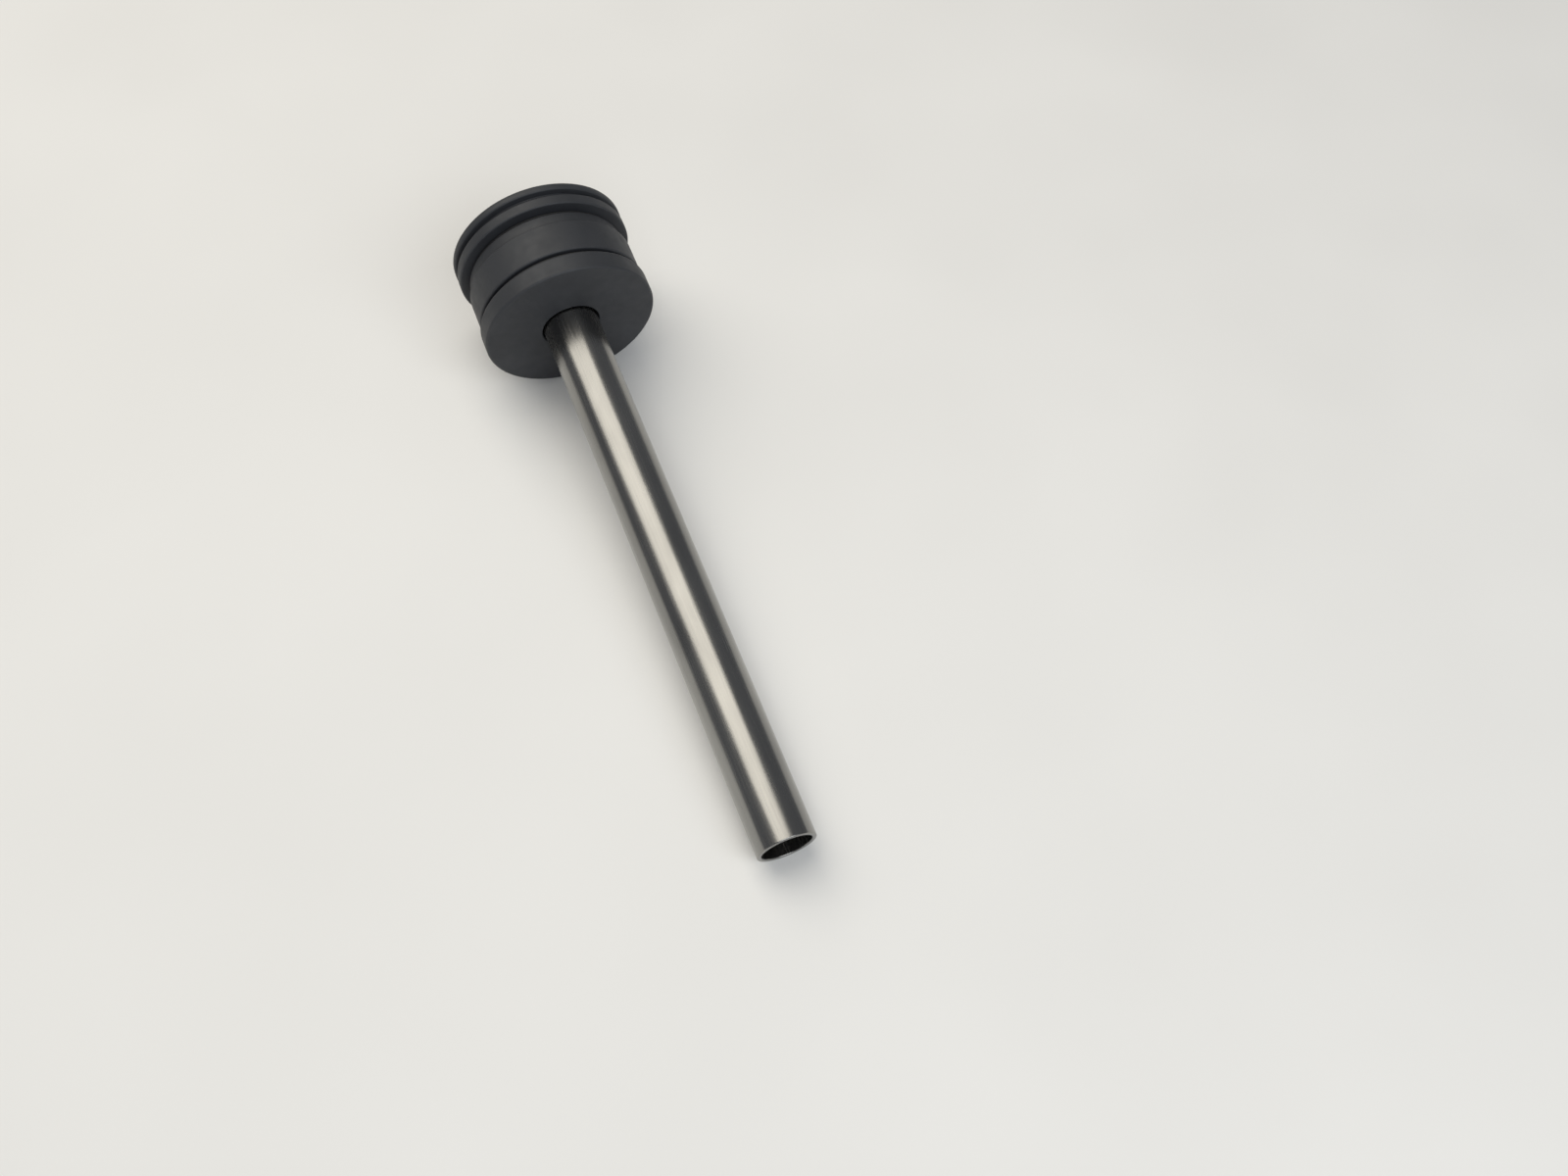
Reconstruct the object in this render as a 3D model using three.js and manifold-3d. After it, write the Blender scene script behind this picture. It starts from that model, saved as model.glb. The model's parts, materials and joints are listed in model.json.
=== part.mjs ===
// Flame sensor probe for a burner: a round moulded head and a long, thin-walled steel probe tube.
//
// An ultraviolet phototube looks out of the tube's open tip through a window. It plugs into the
// front end of a sensor insert, which fills the probe tube and the head and pulls out at the rear
// once the cap is off.
//
// Units are millimetres. Every piece is modelled on the probe's own axis, local Y: the flange's
// front face is at y = 0, the tip at negative y and the rear cap at positive y. The probe is then
// tilted so that it lies on the ground, z = 0, on the flange's rim and the tip of the tube.
import * as THREE from "three";
import { mergeVertices } from "three/addons/utils/BufferGeometryUtils.js";
import Module from "manifold-3d";

// ---- Driving dimensions ----------------------------------------------------------------------

const GAP = 0.3; // left between pieces that touch, and all round one piece inside another

const HEAD_SIDES = 40; // facets round the large turned pieces of the head
const TUBE_SIDES = 24; // facets round the probe tube and what fits inside it
const SMALL_SIDES = 16; // facets round screws and components
const WIRE_SIDES = 8; // facets round leads and electrodes

const TUBE = { radius: 5.5, wall: 0.85, reach: 113, lip: 7.6, lipThick: 0.7 };
const TUBE_BORE = TUBE.radius - TUBE.wall;
const FLANGE = { radius: 17.2, thick: 4.2, web: 3.0, chamfer: 0.6 };
const BOSS = { radius: 8.0, end: 4.4 }; // round the tube, behind the flange's web
const SPIGOT = { radius: 12.1, wall: 1.5, end: 7.4 }; // of the flange, inside the drum
const GASKET_THICK = 0.5;

const DRUM = { radius: 16.7, wall: 2.7, start: 5.3, step: 12.3, end: 14.9, neck: 15.9 };
const SHOULDER = 8.5; // the drum's inner ledge, which the sensor insert rests on

const CAP = { radius: 17.5, groove: 16.1, start: 15.9, end: 21.1, rearWall: 2.3, skirtWall: 0.7 };
const CAP_RIB = { front: 18.1, back: 19.5, slope: 0.15, round: 0.3 }; // the groove's two sides
const CAP_INSIDE = CAP.end - CAP.rearWall;

const CAP_SCREW = { offset: 10.2, radius: 1.25, head: 2.6, headThick: 1.3, end: 11.2 };
const CAP_SCREW_SEAT = 19.3; // the floor of the counterbore in the cap's rear face
const DRUM_BOSS = { radius: 2.6, start: 10.6, webHalf: 1.6 };
const CAP_BOSS = { radius: 3.4, start: 15.7 };

const INLET = { height: 6.4, bore: 3.75, body: 4.4, outerLip: 5.6, innerLip: 5.4 };
const LIP_THICK = 0.9;

const CARRIER = { start: 8.8, end: 10.0, radius: 13.6 };
const BOARD = { start: 10.3, end: 11.3, radius: 12.6 };
const BOARD_TOP = BOARD.end + GAP; // where the components on the board start
const BOARD_SCREW = { x: 8.2, z: -5.8, radius: 0.7, head: 1.6, headThick: 1.1 };

const BLOCK = { halfWidth: 5, top: 16.8, near: -5.9, far: -11.2 };
const TERMINAL = { offset: 2.5, z: -8.5, hole: 1.8, chamberHalf: 1.6, chamberTop: 14.4 };

const SLEEVE = { radius: 3.6, bore: 3.15, front: -70.5, collar: 4.2 };
const CENTRING_RING = { thick: 3, places: [-20, -58] };
const LEAD = { radius: 0.6, offset: 1.7 };

const SOCKET = { radius: 4.2, front: -79.4, back: -70.8, neck: 2.85, neckEnd: -67.5 };
const CONTACT = { bore: 0.7, radius: 1.05, front: -79.0, back: -74.5 };

const BULB = { radius: 3.7, wall: 0.4, nose: -96, mouth: -81.4, noseLength: 3.0 };
const BASE = { radius: 3.0, rim: 3.9, front: -83.0, back: -80.0, rimFront: -81.1 };
const PIN = { radius: 0.4, end: -75.2 };

const WINDOW = { radius: 4.3, front: -104.9, thick: 1.2 };
const RING_BORE = 3.5; // of the rings that hold the window

// ---- Materials -------------------------------------------------------------------------------

function finish(color, roughness, metalness) {
  return new THREE.MeshStandardMaterial({ color, roughness, metalness });
}

const blackPlastic = () => finish(0x26282c, 0.45, 0);
const greyPlastic = () => finish(0x5b5e60, 0.55, 0);
const whitePlastic = () => finish(0xe4e2da, 0.5, 0);
const greenPlastic = () => finish(0x2f6b4a, 0.5, 0);
const boardLaminate = () => finish(0x1f5137, 0.4, 0);
const rubber = () => finish(0x17181a, 0.85, 0);
const fibre = () => finish(0x8a4a32, 0.8, 0);
const steel = () => finish(0xc9c2b6, 0.28, 1);
const zincSteel = () => finish(0xb8bcc0, 0.35, 1);
const brass = () => finish(0xb98f45, 0.35, 1);
const nickel = () => finish(0xbab5aa, 0.3, 1);
const ceramic = () => finish(0xeae6dc, 0.4, 0);
const glass = () => finish(0xcfe0e6, 0.05, 0);
const redWire = () => finish(0x9c2f28, 0.5, 0);
const blueWire = () => finish(0x2f4f8c, 0.5, 0);
const resistorBody = () => finish(0xc9b48a, 0.5, 0);
const capacitorBody = () => finish(0x23406e, 0.4, 0);

// ---- Solids ----------------------------------------------------------------------------------

const wasm = await Module();
wasm.setup();

// A closed three.js geometry as a manifold-3d solid.
function solid(geometry) {
  const bare = geometry.clone();
  bare.deleteAttribute("normal");
  bare.deleteAttribute("uv");
  const merged = mergeVertices(bare, 1e-4);
  return new wasm.Manifold(
    new wasm.Mesh({
      numProp: 3,
      vertProperties: new Float32Array(merged.attributes.position.array),
      triVerts: new Uint32Array(merged.index.array),
    }),
  );
}

// A manifold-3d solid as a flat-shaded three.js geometry.
function geometryOf(shape) {
  const { vertProperties, triVerts } = shape.getMesh();
  const geometry = new THREE.BufferGeometry();
  geometry.setAttribute("position", new THREE.BufferAttribute(vertProperties, 3));
  geometry.setIndex(new THREE.BufferAttribute(triVerts, 1));
  const flat = geometry.toNonIndexed();
  flat.computeVertexNormals();
  return flat;
}

// Turns an outline of [radius, y] points about the Y axis. The outline runs anticlockwise with
// the radius to the right and y upwards, and closes on itself or starts and ends on the axis.
// The turned piece has a flat facet at the bottom, so it can lie still.
function turned(outline, sides) {
  const points = outline.map(([r, y]) => new THREE.Vector2(r, y));
  if (outline[0][0] > 0) points.push(points[0].clone());
  return new THREE.LatheGeometry(points, sides, Math.PI / sides);
}

// A plain ring or, with no inner radius, a disc.
function ring(inner, outer, start, end, sides) {
  return turned([[inner, start], [outer, start], [outer, end], [inner, end]], sides);
}

// A block between two corners.
function block([x0, y0, z0], [x1, y1, z1]) {
  const box = new THREE.BoxGeometry(x1 - x0, y1 - y0, z1 - z0);
  return box.translate((x0 + x1) / 2, (y0 + y1) / 2, (z0 + z1) / 2);
}

// A round pin or hole along Y, through (x, z).
function rod(radius, start, end, x, z, sides = SMALL_SIDES) {
  return ring(0, radius, start, end, sides).translate(x, 0, z);
}

// Extrudes a round wire along a smooth curve through the given points.
function wire(points, radius, steps) {
  const section = new THREE.Shape().absarc(0, 0, radius, 0, 2 * Math.PI);
  const extrudePath = new THREE.CatmullRomCurve3(
    points.map((p) => new THREE.Vector3(...p)),
    false,
    "centripetal",
  );
  return new THREE.ExtrudeGeometry(section, {
    steps,
    curveSegments: WIRE_SIDES / 2,
    bevelEnabled: false,
    extrudePath,
  });
}

// A piece cut by others.
function cut(piece, ...tools) {
  return geometryOf(tools.reduce((shape, tool) => shape.subtract(solid(tool)), solid(piece)));
}

// Pieces joined into one.
function join(...pieces) {
  return geometryOf(pieces.map(solid).reduce((shape, next) => shape.add(next)));
}

// ---- The group -------------------------------------------------------------------------------

const axis = new THREE.Group(); // the probe on its own axis

function place(name, geometry, material) {
  const mesh = new THREE.Mesh(geometry, material);
  mesh.name = name;
  axis.add(mesh);
}

// ---- Probe tube, flange and drum -------------------------------------------------------------

// The steel tube is open at the tip. A lip turned out at its rear end holds it in the head.
function probeTube() {
  const lipStart = BOSS.end + GAP + GASKET_THICK + GAP;
  const lipEnd = lipStart + TUBE.lipThick;
  return turned(
    [
      [TUBE_BORE, -TUBE.reach],
      [TUBE.radius, -TUBE.reach],
      [TUBE.radius, lipStart],
      [TUBE.lip, lipStart],
      [TUBE.lip, lipEnd],
      [TUBE_BORE, lipEnd],
    ],
    TUBE_SIDES,
  );
}

// A flat disc with a boss round the tube and a spigot that plugs into the drum.
function frontFlange() {
  const { radius, thick, web, chamfer } = FLANGE;
  const hole = TUBE.radius + GAP;
  return turned(
    [
      [hole, 0],
      [radius - chamfer, 0],
      [radius, chamfer],
      [radius, thick - chamfer],
      [radius - chamfer, thick],
      [SPIGOT.radius, thick],
      [SPIGOT.radius, SPIGOT.end],
      [SPIGOT.radius - SPIGOT.wall, SPIGOT.end],
      [SPIGOT.radius - SPIGOT.wall, web],
      [BOSS.radius, web],
      [BOSS.radius, BOSS.end],
      [hole, BOSS.end],
    ],
    HEAD_SIDES,
  );
}

// The drum is the head's middle shell. Two bosses inside take the cap's screws.
function drumHousing() {
  const { radius, wall, start, step, end, neck } = DRUM;
  const chamfer = 0.4;
  const shell = turned(
    [
      [SPIGOT.radius + GAP, start],
      [radius - chamfer, start],
      [radius, start + chamfer],
      [radius, step - chamfer],
      [radius - chamfer, step],
      [neck, step],
      [neck, end],
      [radius - wall, end],
      [radius - wall, SHOULDER],
      [SPIGOT.radius + GAP, SHOULDER],
    ],
    HEAD_SIDES,
  );
  const bosses = [-1, 1].flatMap((side) => {
    const inner = side * CAP_SCREW.offset;
    const outer = side * (radius - wall + 0.5);
    return [
      rod(DRUM_BOSS.radius, DRUM_BOSS.start, end, inner, 0),
      block(
        [Math.min(inner, outer), DRUM_BOSS.start, -DRUM_BOSS.webHalf],
        [Math.max(inner, outer), end, DRUM_BOSS.webHalf],
      ),
    ];
  });
  const holes = [-1, 1].map((side) =>
    rod(CAP_SCREW.radius + GAP, DRUM_BOSS.start - 1, end + 1, side * CAP_SCREW.offset, 0),
  );
  return cut(join(shell, ...bosses), ...holes);
}

const gasketStart = FLANGE.thick + GAP;
const tubeGasketStart = BOSS.end + GAP;

place("probe_tube", probeTube(), steel());
place("front_flange", frontFlange(), blackPlastic());
place("drum_housing", drumHousing(), blackPlastic());
place(
  "flange_gasket",
  ring(SPIGOT.radius + GAP, DRUM.radius - 0.6, gasketStart, gasketStart + GASKET_THICK, HEAD_SIDES),
  rubber(),
);
place(
  "tube_gasket",
  ring(
    TUBE.radius + GAP,
    BOSS.radius,
    tubeGasketStart,
    tubeGasketStart + GASKET_THICK,
    TUBE_SIDES,
  ),
  fibre(),
);

// The brass ring nut screws into the flange's spigot and clamps the tube's lip to the boss.
function clampNut() {
  const start = tubeGasketStart + GASKET_THICK + GAP + TUBE.lipThick + GAP;
  const end = start + 1.7;
  const outer = SPIGOT.radius - SPIGOT.wall - GAP;
  const slotDepth = 0.9;
  const slots = [-1, 1].map((side) =>
    block(
      [side > 0 ? 7.4 : -outer - 1, end - slotDepth, -0.9],
      [side > 0 ? outer + 1 : -7.4, end + 1, 0.9],
    ),
  );
  return cut(ring(5.0, outer, start, end, HEAD_SIDES), ...slots);
}

place("tube_clamp_nut", clampNut(), brass());

// ---- Window at the tip -----------------------------------------------------------------------

const windowBack = WINDOW.front + WINDOW.thick;
const sealBack = windowBack + GAP + 0.7;
const seatBack = sealBack + GAP + 1.2;
const ringFront = WINDOW.front - GAP - 1.4;

place("window", rod(WINDOW.radius, WINDOW.front, windowBack, 0, 0, TUBE_SIDES), glass());
place(
  "window_retaining_ring",
  ring(RING_BORE, WINDOW.radius, ringFront, WINDOW.front - GAP, TUBE_SIDES),
  nickel(),
);
place(
  "window_seal",
  ring(RING_BORE, WINDOW.radius, windowBack + GAP, sealBack, TUBE_SIDES),
  rubber(),
);
place(
  "window_seat_ring",
  ring(RING_BORE, WINDOW.radius, sealBack + GAP, seatBack, TUBE_SIDES),
  nickel(),
);

// ---- Rear cap --------------------------------------------------------------------------------

// The cap closes the head. A groove round it leaves two ribs, and a thin skirt reaches into the
// drum and holds the sensor insert down on the drum's shoulder.
function rearCap() {
  const { radius, groove, start, end, skirtWall } = CAP;
  const { front, back, slope, round } = CAP_RIB;
  const skirt = DRUM.radius - DRUM.wall - GAP;
  const shell = turned(
    [
      [0, CAP_INSIDE],
      [skirt - skirtWall, CAP_INSIDE],
      [skirt - skirtWall, CARRIER.end + GAP],
      [skirt, CARRIER.end + GAP],
      [skirt, start],
      [radius - round, start],
      [radius, start + round],
      [radius, front - round],
      [radius - round, front],
      [groove, front + slope],
      [groove, back - slope],
      [radius - round, back],
      [radius, back + round],
      [radius, end - 2 * round],
      [radius - 2 * round, end],
      [0, end],
    ],
    HEAD_SIDES,
  );
  const bosses = [-1, 1].map((side) =>
    rod(CAP_BOSS.radius, CAP_BOSS.start, CAP_INSIDE + 0.5, side * CAP_SCREW.offset, 0),
  );
  const tools = [-1, 1].flatMap((side) => {
    const x = side * CAP_SCREW.offset;
    return [
      rod(CAP_SCREW.radius + GAP, CAP_BOSS.start - 1, end + 1, x, 0),
      rod(CAP_SCREW.head + GAP, CAP_SCREW_SEAT, end + 1, x, 0, TUBE_SIDES),
    ];
  });
  const notchHalf = DRUM_BOSS.webHalf + 2 * GAP;
  const notches = block(
    [-skirt - 1, CARRIER.end, -notchHalf],
    [skirt + 1, DRUM.end + GAP, notchHalf],
  );
  const inlet = rod(INLET.body + GAP, CAP_BOSS.start - 1, end + 1, 0, INLET.height, TUBE_SIDES);
  return cut(join(shell, ...bosses), ...tools, notches, inlet);
}

place("rear_cap", rearCap(), blackPlastic());
place(
  "cap_seal",
  ring(
    DRUM.radius - DRUM.wall,
    DRUM.neck - 0.4,
    DRUM.end + GAP,
    CAP.start - GAP,
    HEAD_SIDES,
  ),
  rubber(),
);

// The cable's inlet is a rubber grommet with a lip on each side of the cap's rear wall.
function cableGrommet() {
  const inner = CAP_INSIDE - GAP;
  const outer = CAP.end + GAP;
  return turned(
    [
      [INLET.bore, inner - LIP_THICK],
      [INLET.innerLip, inner - LIP_THICK],
      [INLET.innerLip, inner],
      [INLET.body, inner],
      [INLET.body, outer],
      [INLET.outerLip, outer],
      [INLET.outerLip - 0.4, outer + LIP_THICK],
      [INLET.bore, outer + LIP_THICK],
    ],
    TUBE_SIDES,
  ).translate(0, 0, INLET.height);
}

place("cable_grommet", cableGrommet(), rubber());

// A pan-head screw along Y with a cross recess. Its head starts at y = seat and faces +Y.
function screw({ radius, head, headThick, end }, seat, x, z, sides = 12) {
  const body = turned(
    [
      [0, end],
      [radius - 0.2, end],
      [radius, end + 0.3],
      [radius, seat],
      [head, seat],
      [head, seat + headThick * 0.6],
      [head * 0.8, seat + headThick],
      [0, seat + headThick],
    ],
    sides,
  );
  const half = head * 0.6;
  const floor = seat + headThick * 0.45;
  const top = seat + headThick + 1;
  const slot = head * 0.13;
  const cross = [
    block([-half, floor, -slot], [half, top, slot]),
    block([-slot, floor, -half], [slot, top, half]),
  ];
  return cut(body, ...cross).translate(x, 0, z);
}

[-1, 1].forEach((side, i) => {
  place(
    `cap_screw_${i + 1}`,
    screw(CAP_SCREW, CAP_SCREW_SEAT + GAP, side * CAP_SCREW.offset, 0, SMALL_SIDES),
    zincSteel(),
  );
});

// ---- Sensor insert: carrier, board and terminals ---------------------------------------------

// Room that the carrier and the board leave for the drum's two screw bosses.
function bossNotches(start, end) {
  const half = DRUM_BOSS.radius + GAP;
  const inner = CAP_SCREW.offset - half;
  return [
    block([inner, start - 1, -half], [CARRIER.radius + 1, end + 1, half]),
    block([-CARRIER.radius - 1, start - 1, -half], [-inner, end + 1, half]),
  ];
}

// Where the two board screws stand, opposite each other.
const boardScrews = [
  [BOARD_SCREW.x, BOARD_SCREW.z],
  [-BOARD_SCREW.x, -BOARD_SCREW.z],
];

function discWithHoles({ start, end, radius }, centreHole) {
  const holes = boardScrews.map(([x, z]) =>
    rod(BOARD_SCREW.radius + GAP, start - 1, end + 1, x, z, 12),
  );
  const disc = ring(centreHole, radius, start, end, HEAD_SIDES);
  return cut(disc, ...bossNotches(start, end), ...holes);
}

place("insert_carrier", discWithHoles(CARRIER, SLEEVE.radius + GAP), greyPlastic());
place("circuit_board", discWithHoles(BOARD, SLEEVE.bore - GAP), boardLaminate());
boardScrews.forEach(([x, z], i) => {
  const size = { ...BOARD_SCREW, end: CARRIER.start + 0.2 };
  place(`board_screw_${i + 1}`, screw(size, BOARD_TOP, x, z), zincSteel());
});

// The terminal block has two chambers, open towards the wires, each with a screw above it.
function terminalBlock() {
  const body = block(
    [-BLOCK.halfWidth, BOARD_TOP, BLOCK.far],
    [BLOCK.halfWidth, BLOCK.top, BLOCK.near],
  );
  const tools = [-1, 1].flatMap((side) => {
    const x = side * TERMINAL.offset;
    return [
      rod(TERMINAL.hole, TERMINAL.chamberTop - 0.5, BLOCK.top + 1, x, TERMINAL.z),
      block(
        [x - TERMINAL.chamberHalf, BOARD_TOP + 0.5, BLOCK.far + 1.2],
        [x + TERMINAL.chamberHalf, TERMINAL.chamberTop, BLOCK.near + 1],
      ),
    ];
  });
  return cut(body, ...tools);
}

place("terminal_block", terminalBlock(), greenPlastic());

[-1, 1].forEach((side, i) => {
  const x = side * TERMINAL.offset;
  const half = TERMINAL.chamberHalf - GAP;
  const clampTop = TERMINAL.chamberTop - GAP;
  const clamp = cut(
    block([x - half, BOARD_TOP + 0.8, TERMINAL.z - half], [x + half, clampTop, TERMINAL.z + half]),
    rod(0.9, BOARD_TOP, clampTop + 1, x, TERMINAL.z, 12),
  );
  const size = { radius: 0.6, head: 1.5, headThick: 1.3, end: clampTop - 1 };
  place(`terminal_clamp_${i + 1}`, clamp, nickel());
  place(`terminal_screw_${i + 1}`, screw(size, clampTop + 1, x, TERMINAL.z), nickel());
});

// A resistor with two bent legs, and a can capacitor, both standing on the board.
function resistor() {
  const radius = 1.0;
  const half = 2.8;
  const body = turned(
    [
      [0, -half],
      [radius * 0.8, -half],
      [radius, -half + 0.4],
      [radius, -half + 1.0],
      [radius * 0.86, -half + 1.3],
      [radius * 0.86, half - 1.3],
      [radius, half - 1.0],
      [radius, half - 0.4],
      [radius * 0.8, half],
      [0, half],
    ],
    12,
  )
    .rotateZ(Math.PI / 2)
    .translate(0, BOARD_TOP + 1.4, 10.4);
  const legs = [-1, 1].map((side) =>
    wire(
      [
        [side * (half - 0.6), BOARD_TOP + 1.4, 10.4],
        [side * (half + 0.5), BOARD_TOP + 1.4, 10.4],
        [side * (half + 1.1), BOARD_TOP + 0.9, 10.4],
        [side * (half + 1.2), BOARD_TOP, 10.4],
      ],
      0.25,
      6,
    ),
  );
  return join(body, ...legs);
}

function capacitor() {
  const radius = 2.0;
  const top = BOARD_TOP + 3.8;
  return turned(
    [
      [0, BOARD_TOP],
      [radius, BOARD_TOP],
      [radius, BOARD_TOP + 0.7],
      [radius - 0.2, BOARD_TOP + 0.9],
      [radius, BOARD_TOP + 1.1],
      [radius, top - 0.3],
      [radius - 0.3, top],
      [0, top],
    ],
    SMALL_SIDES,
  ).translate(7.0, 0, 7.2);
}

place("resistor", resistor(), resistorBody());
place("capacitor", capacitor(), capacitorBody());

// ---- Sensor insert: sleeve, leads and socket -------------------------------------------------

// The insulating sleeve runs down the probe tube. Its collar sits in front of the carrier.
function leadSleeve() {
  const { radius, bore, front, collar } = SLEEVE;
  const collarEnd = CARRIER.start - GAP;
  return turned(
    [
      [bore, front],
      [radius, front],
      [radius, collarEnd - 0.9],
      [collar, collarEnd - 0.9],
      [collar, collarEnd],
      [radius, collarEnd],
      [radius, CARRIER.end],
      [bore, CARRIER.end],
    ],
    TUBE_SIDES,
  );
}

place("lead_sleeve", leadSleeve(), whitePlastic());
CENTRING_RING.places.forEach((y, i) => {
  const outer = TUBE_BORE - GAP;
  place(
    `centring_ring_${i + 1}`,
    ring(SLEEVE.radius + GAP, outer, y, y + CENTRING_RING.thick, TUBE_SIDES),
    whitePlastic(),
  );
});

// The ceramic socket holds two contacts and plugs into the front of the sleeve.
function phototubeSocket() {
  const { radius, front, back, neck, neckEnd } = SOCKET;
  const body = turned(
    [
      [0, front],
      [radius, front],
      [radius, back],
      [neck, back],
      [neck, neckEnd],
      [0, neckEnd],
    ],
    TUBE_SIDES,
  );
  const holes = [-1, 1].flatMap((side) => [
    rod(CONTACT.radius + GAP, front - 1, CONTACT.back + GAP, side * LEAD.offset, 0),
    rod(LEAD.radius + GAP, CONTACT.back, neckEnd + 1, side * LEAD.offset, 0),
  ]);
  return cut(body, ...holes);
}

place("phototube_socket", phototubeSocket(), ceramic());

// Each lead starts behind its contact and runs straight up the sleeve and through the board.
// Behind the board it bends over to its solder point.
function lead(side) {
  const x = side * LEAD.offset;
  const straight = rod(LEAD.radius, CONTACT.back + GAP, BOARD.end, x, 0, WIRE_SIDES);
  const bend = wire(
    [
      [x, BOARD.start, 0],
      [x, BOARD_TOP + 0.6, 0],
      [x + side * 0.6, BOARD_TOP + 1.7, 0.7],
      [x + side * 1.7, BOARD_TOP + 1.8, 1.8],
      [x + side * 2.3, BOARD_TOP + 1.1, 2.5],
      [x + side * 2.4, BOARD_TOP, 2.6],
    ],
    LEAD.radius,
    10,
  );
  return join(straight, bend);
}

[-1, 1].forEach((side, i) => {
  const contact = ring(CONTACT.bore, CONTACT.radius, CONTACT.front, CONTACT.back, 12);
  place(`socket_contact_${i + 1}`, contact.translate(side * LEAD.offset, 0, 0), brass());
  place(`lead_${i + 1}`, lead(side), side < 0 ? redWire() : blueWire());
});

// ---- Phototube -------------------------------------------------------------------------------

// The glass bulb has a rounded nose. Its open rear end is closed by the base.
function phototubeBulb() {
  const { radius, wall, nose, mouth, noseLength } = BULB;
  const steps = 5;
  const dome = (r, length, front) =>
    Array.from({ length: steps + 1 }, (_, i) => {
      const a = (i / steps) * (Math.PI / 2);
      return [i === 0 ? 0 : r * Math.sin(a), front + length * (1 - Math.cos(a))];
    });
  const outside = dome(radius, noseLength, nose);
  const inside = dome(radius - wall, noseLength - wall, nose + wall).reverse();
  return turned([...outside, [radius, mouth], [radius - wall, mouth], ...inside], TUBE_SIDES);
}

function phototubeBase() {
  const { radius, rim, front, back, rimFront } = BASE;
  const body = turned(
    [
      [0, front],
      [radius, front],
      [radius, rimFront],
      [rim, rimFront],
      [rim, back],
      [0, back],
    ],
    TUBE_SIDES,
  );
  const holes = [-1, 1].map((side) =>
    rod(PIN.radius + GAP, front - 1, back + 1, side * LEAD.offset, 0, 12),
  );
  return cut(body, ...holes);
}

// Each electrode and its pin are one piece of wire through the base. The cathode ends in a
// square plate, and the anode in a loop that faces it.
function cathode() {
  const x = -LEAD.offset;
  const plate = block([x - 0.2, -93, -1.6], [x + 0.2, -88, 1.6]);
  return join(rod(PIN.radius, -89, PIN.end, x, 0, WIRE_SIDES), plate);
}

function anode() {
  const x = LEAD.offset;
  const loop = new THREE.TorusGeometry(1.4, 0.25, 6, 16)
    .rotateY(Math.PI / 2)
    .translate(x, -90.4, 0);
  return join(rod(PIN.radius, -89.2, PIN.end, x, 0, WIRE_SIDES), loop);
}

place("phototube_bulb", phototubeBulb(), glass());
place("phototube_base", phototubeBase(), ceramic());
place("cathode", cathode(), nickel());
place("anode", anode(), nickel());

// ---- Resting place ---------------------------------------------------------------------------

// The lowest facets are nearer the axis than the corners between them.
const facetRadius = (radius, sides) => radius * Math.cos(Math.PI / sides);
const drop = facetRadius(FLANGE.radius, HEAD_SIDES) - facetRadius(TUBE.radius, TUBE_SIDES);

axis.rotation.x = Math.atan2(drop, TUBE.reach + FLANGE.chamfer);

// The origin is on the ground, under the middle of the bounding box.
const probe = new THREE.Group();
probe.add(axis);
const box = new THREE.Box3().setFromObject(probe, true);
axis.position.set(0, -(box.min.y + box.max.y) / 2, -box.min.z);

export default probe;
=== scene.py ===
"""The looks of a flame sensor probe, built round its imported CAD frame.

A black moulded head, with a ribbed cap at the rear and a flange at the front, carries a long
thin-walled steel tube. Inside are the sensor insert and its phototube, which show when the cap
and the insert are drawn out.

Every piece is drawn in millimetres on the probe's own axis: y = 0 is the flange's front face,
the tip is at negative y and the cap at positive y, and z is away from the ground. make() turns
that into metres in the row's frame. Outlines are (radius, y) or (radius, y, rounding).
"""
import json
import math

import bmesh
import bpy
from mathutils import Matrix, Vector

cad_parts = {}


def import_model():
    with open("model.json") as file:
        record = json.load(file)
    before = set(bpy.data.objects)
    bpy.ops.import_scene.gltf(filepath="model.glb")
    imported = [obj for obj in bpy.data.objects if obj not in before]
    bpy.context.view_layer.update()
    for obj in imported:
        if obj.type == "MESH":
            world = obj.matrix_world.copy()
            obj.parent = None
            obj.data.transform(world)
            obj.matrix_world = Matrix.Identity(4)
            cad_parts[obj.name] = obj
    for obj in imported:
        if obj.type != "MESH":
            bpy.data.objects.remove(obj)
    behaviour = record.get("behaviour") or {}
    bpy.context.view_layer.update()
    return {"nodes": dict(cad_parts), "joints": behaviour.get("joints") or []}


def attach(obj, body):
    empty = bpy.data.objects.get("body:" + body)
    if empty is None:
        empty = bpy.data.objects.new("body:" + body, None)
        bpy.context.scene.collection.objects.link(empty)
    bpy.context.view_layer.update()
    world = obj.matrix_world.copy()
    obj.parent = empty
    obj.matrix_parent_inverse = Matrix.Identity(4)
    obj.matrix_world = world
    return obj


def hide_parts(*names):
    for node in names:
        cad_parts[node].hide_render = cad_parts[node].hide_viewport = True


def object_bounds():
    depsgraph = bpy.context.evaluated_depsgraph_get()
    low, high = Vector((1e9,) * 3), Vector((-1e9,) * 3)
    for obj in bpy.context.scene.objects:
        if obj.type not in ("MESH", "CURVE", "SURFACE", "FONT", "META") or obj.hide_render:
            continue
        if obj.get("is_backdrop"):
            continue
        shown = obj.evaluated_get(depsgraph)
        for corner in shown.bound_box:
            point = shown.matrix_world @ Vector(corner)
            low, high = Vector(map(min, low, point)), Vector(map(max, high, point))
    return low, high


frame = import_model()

MM = 0.001
HEAD_SIDES = 192  # round the head and the tube
MIDDLE_SIDES = 96  # round what is inside the tube
SMALL_SIDES = 64  # round screws and components
PIN_SIDES, TINY_SIDES = 48, 32  # round contacts, and round pins and solder
ARC_STEPS = 5  # in each rounded corner of an outline
SHARP = math.radians(32)  # an edge that bends more than this is drawn sharp
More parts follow.
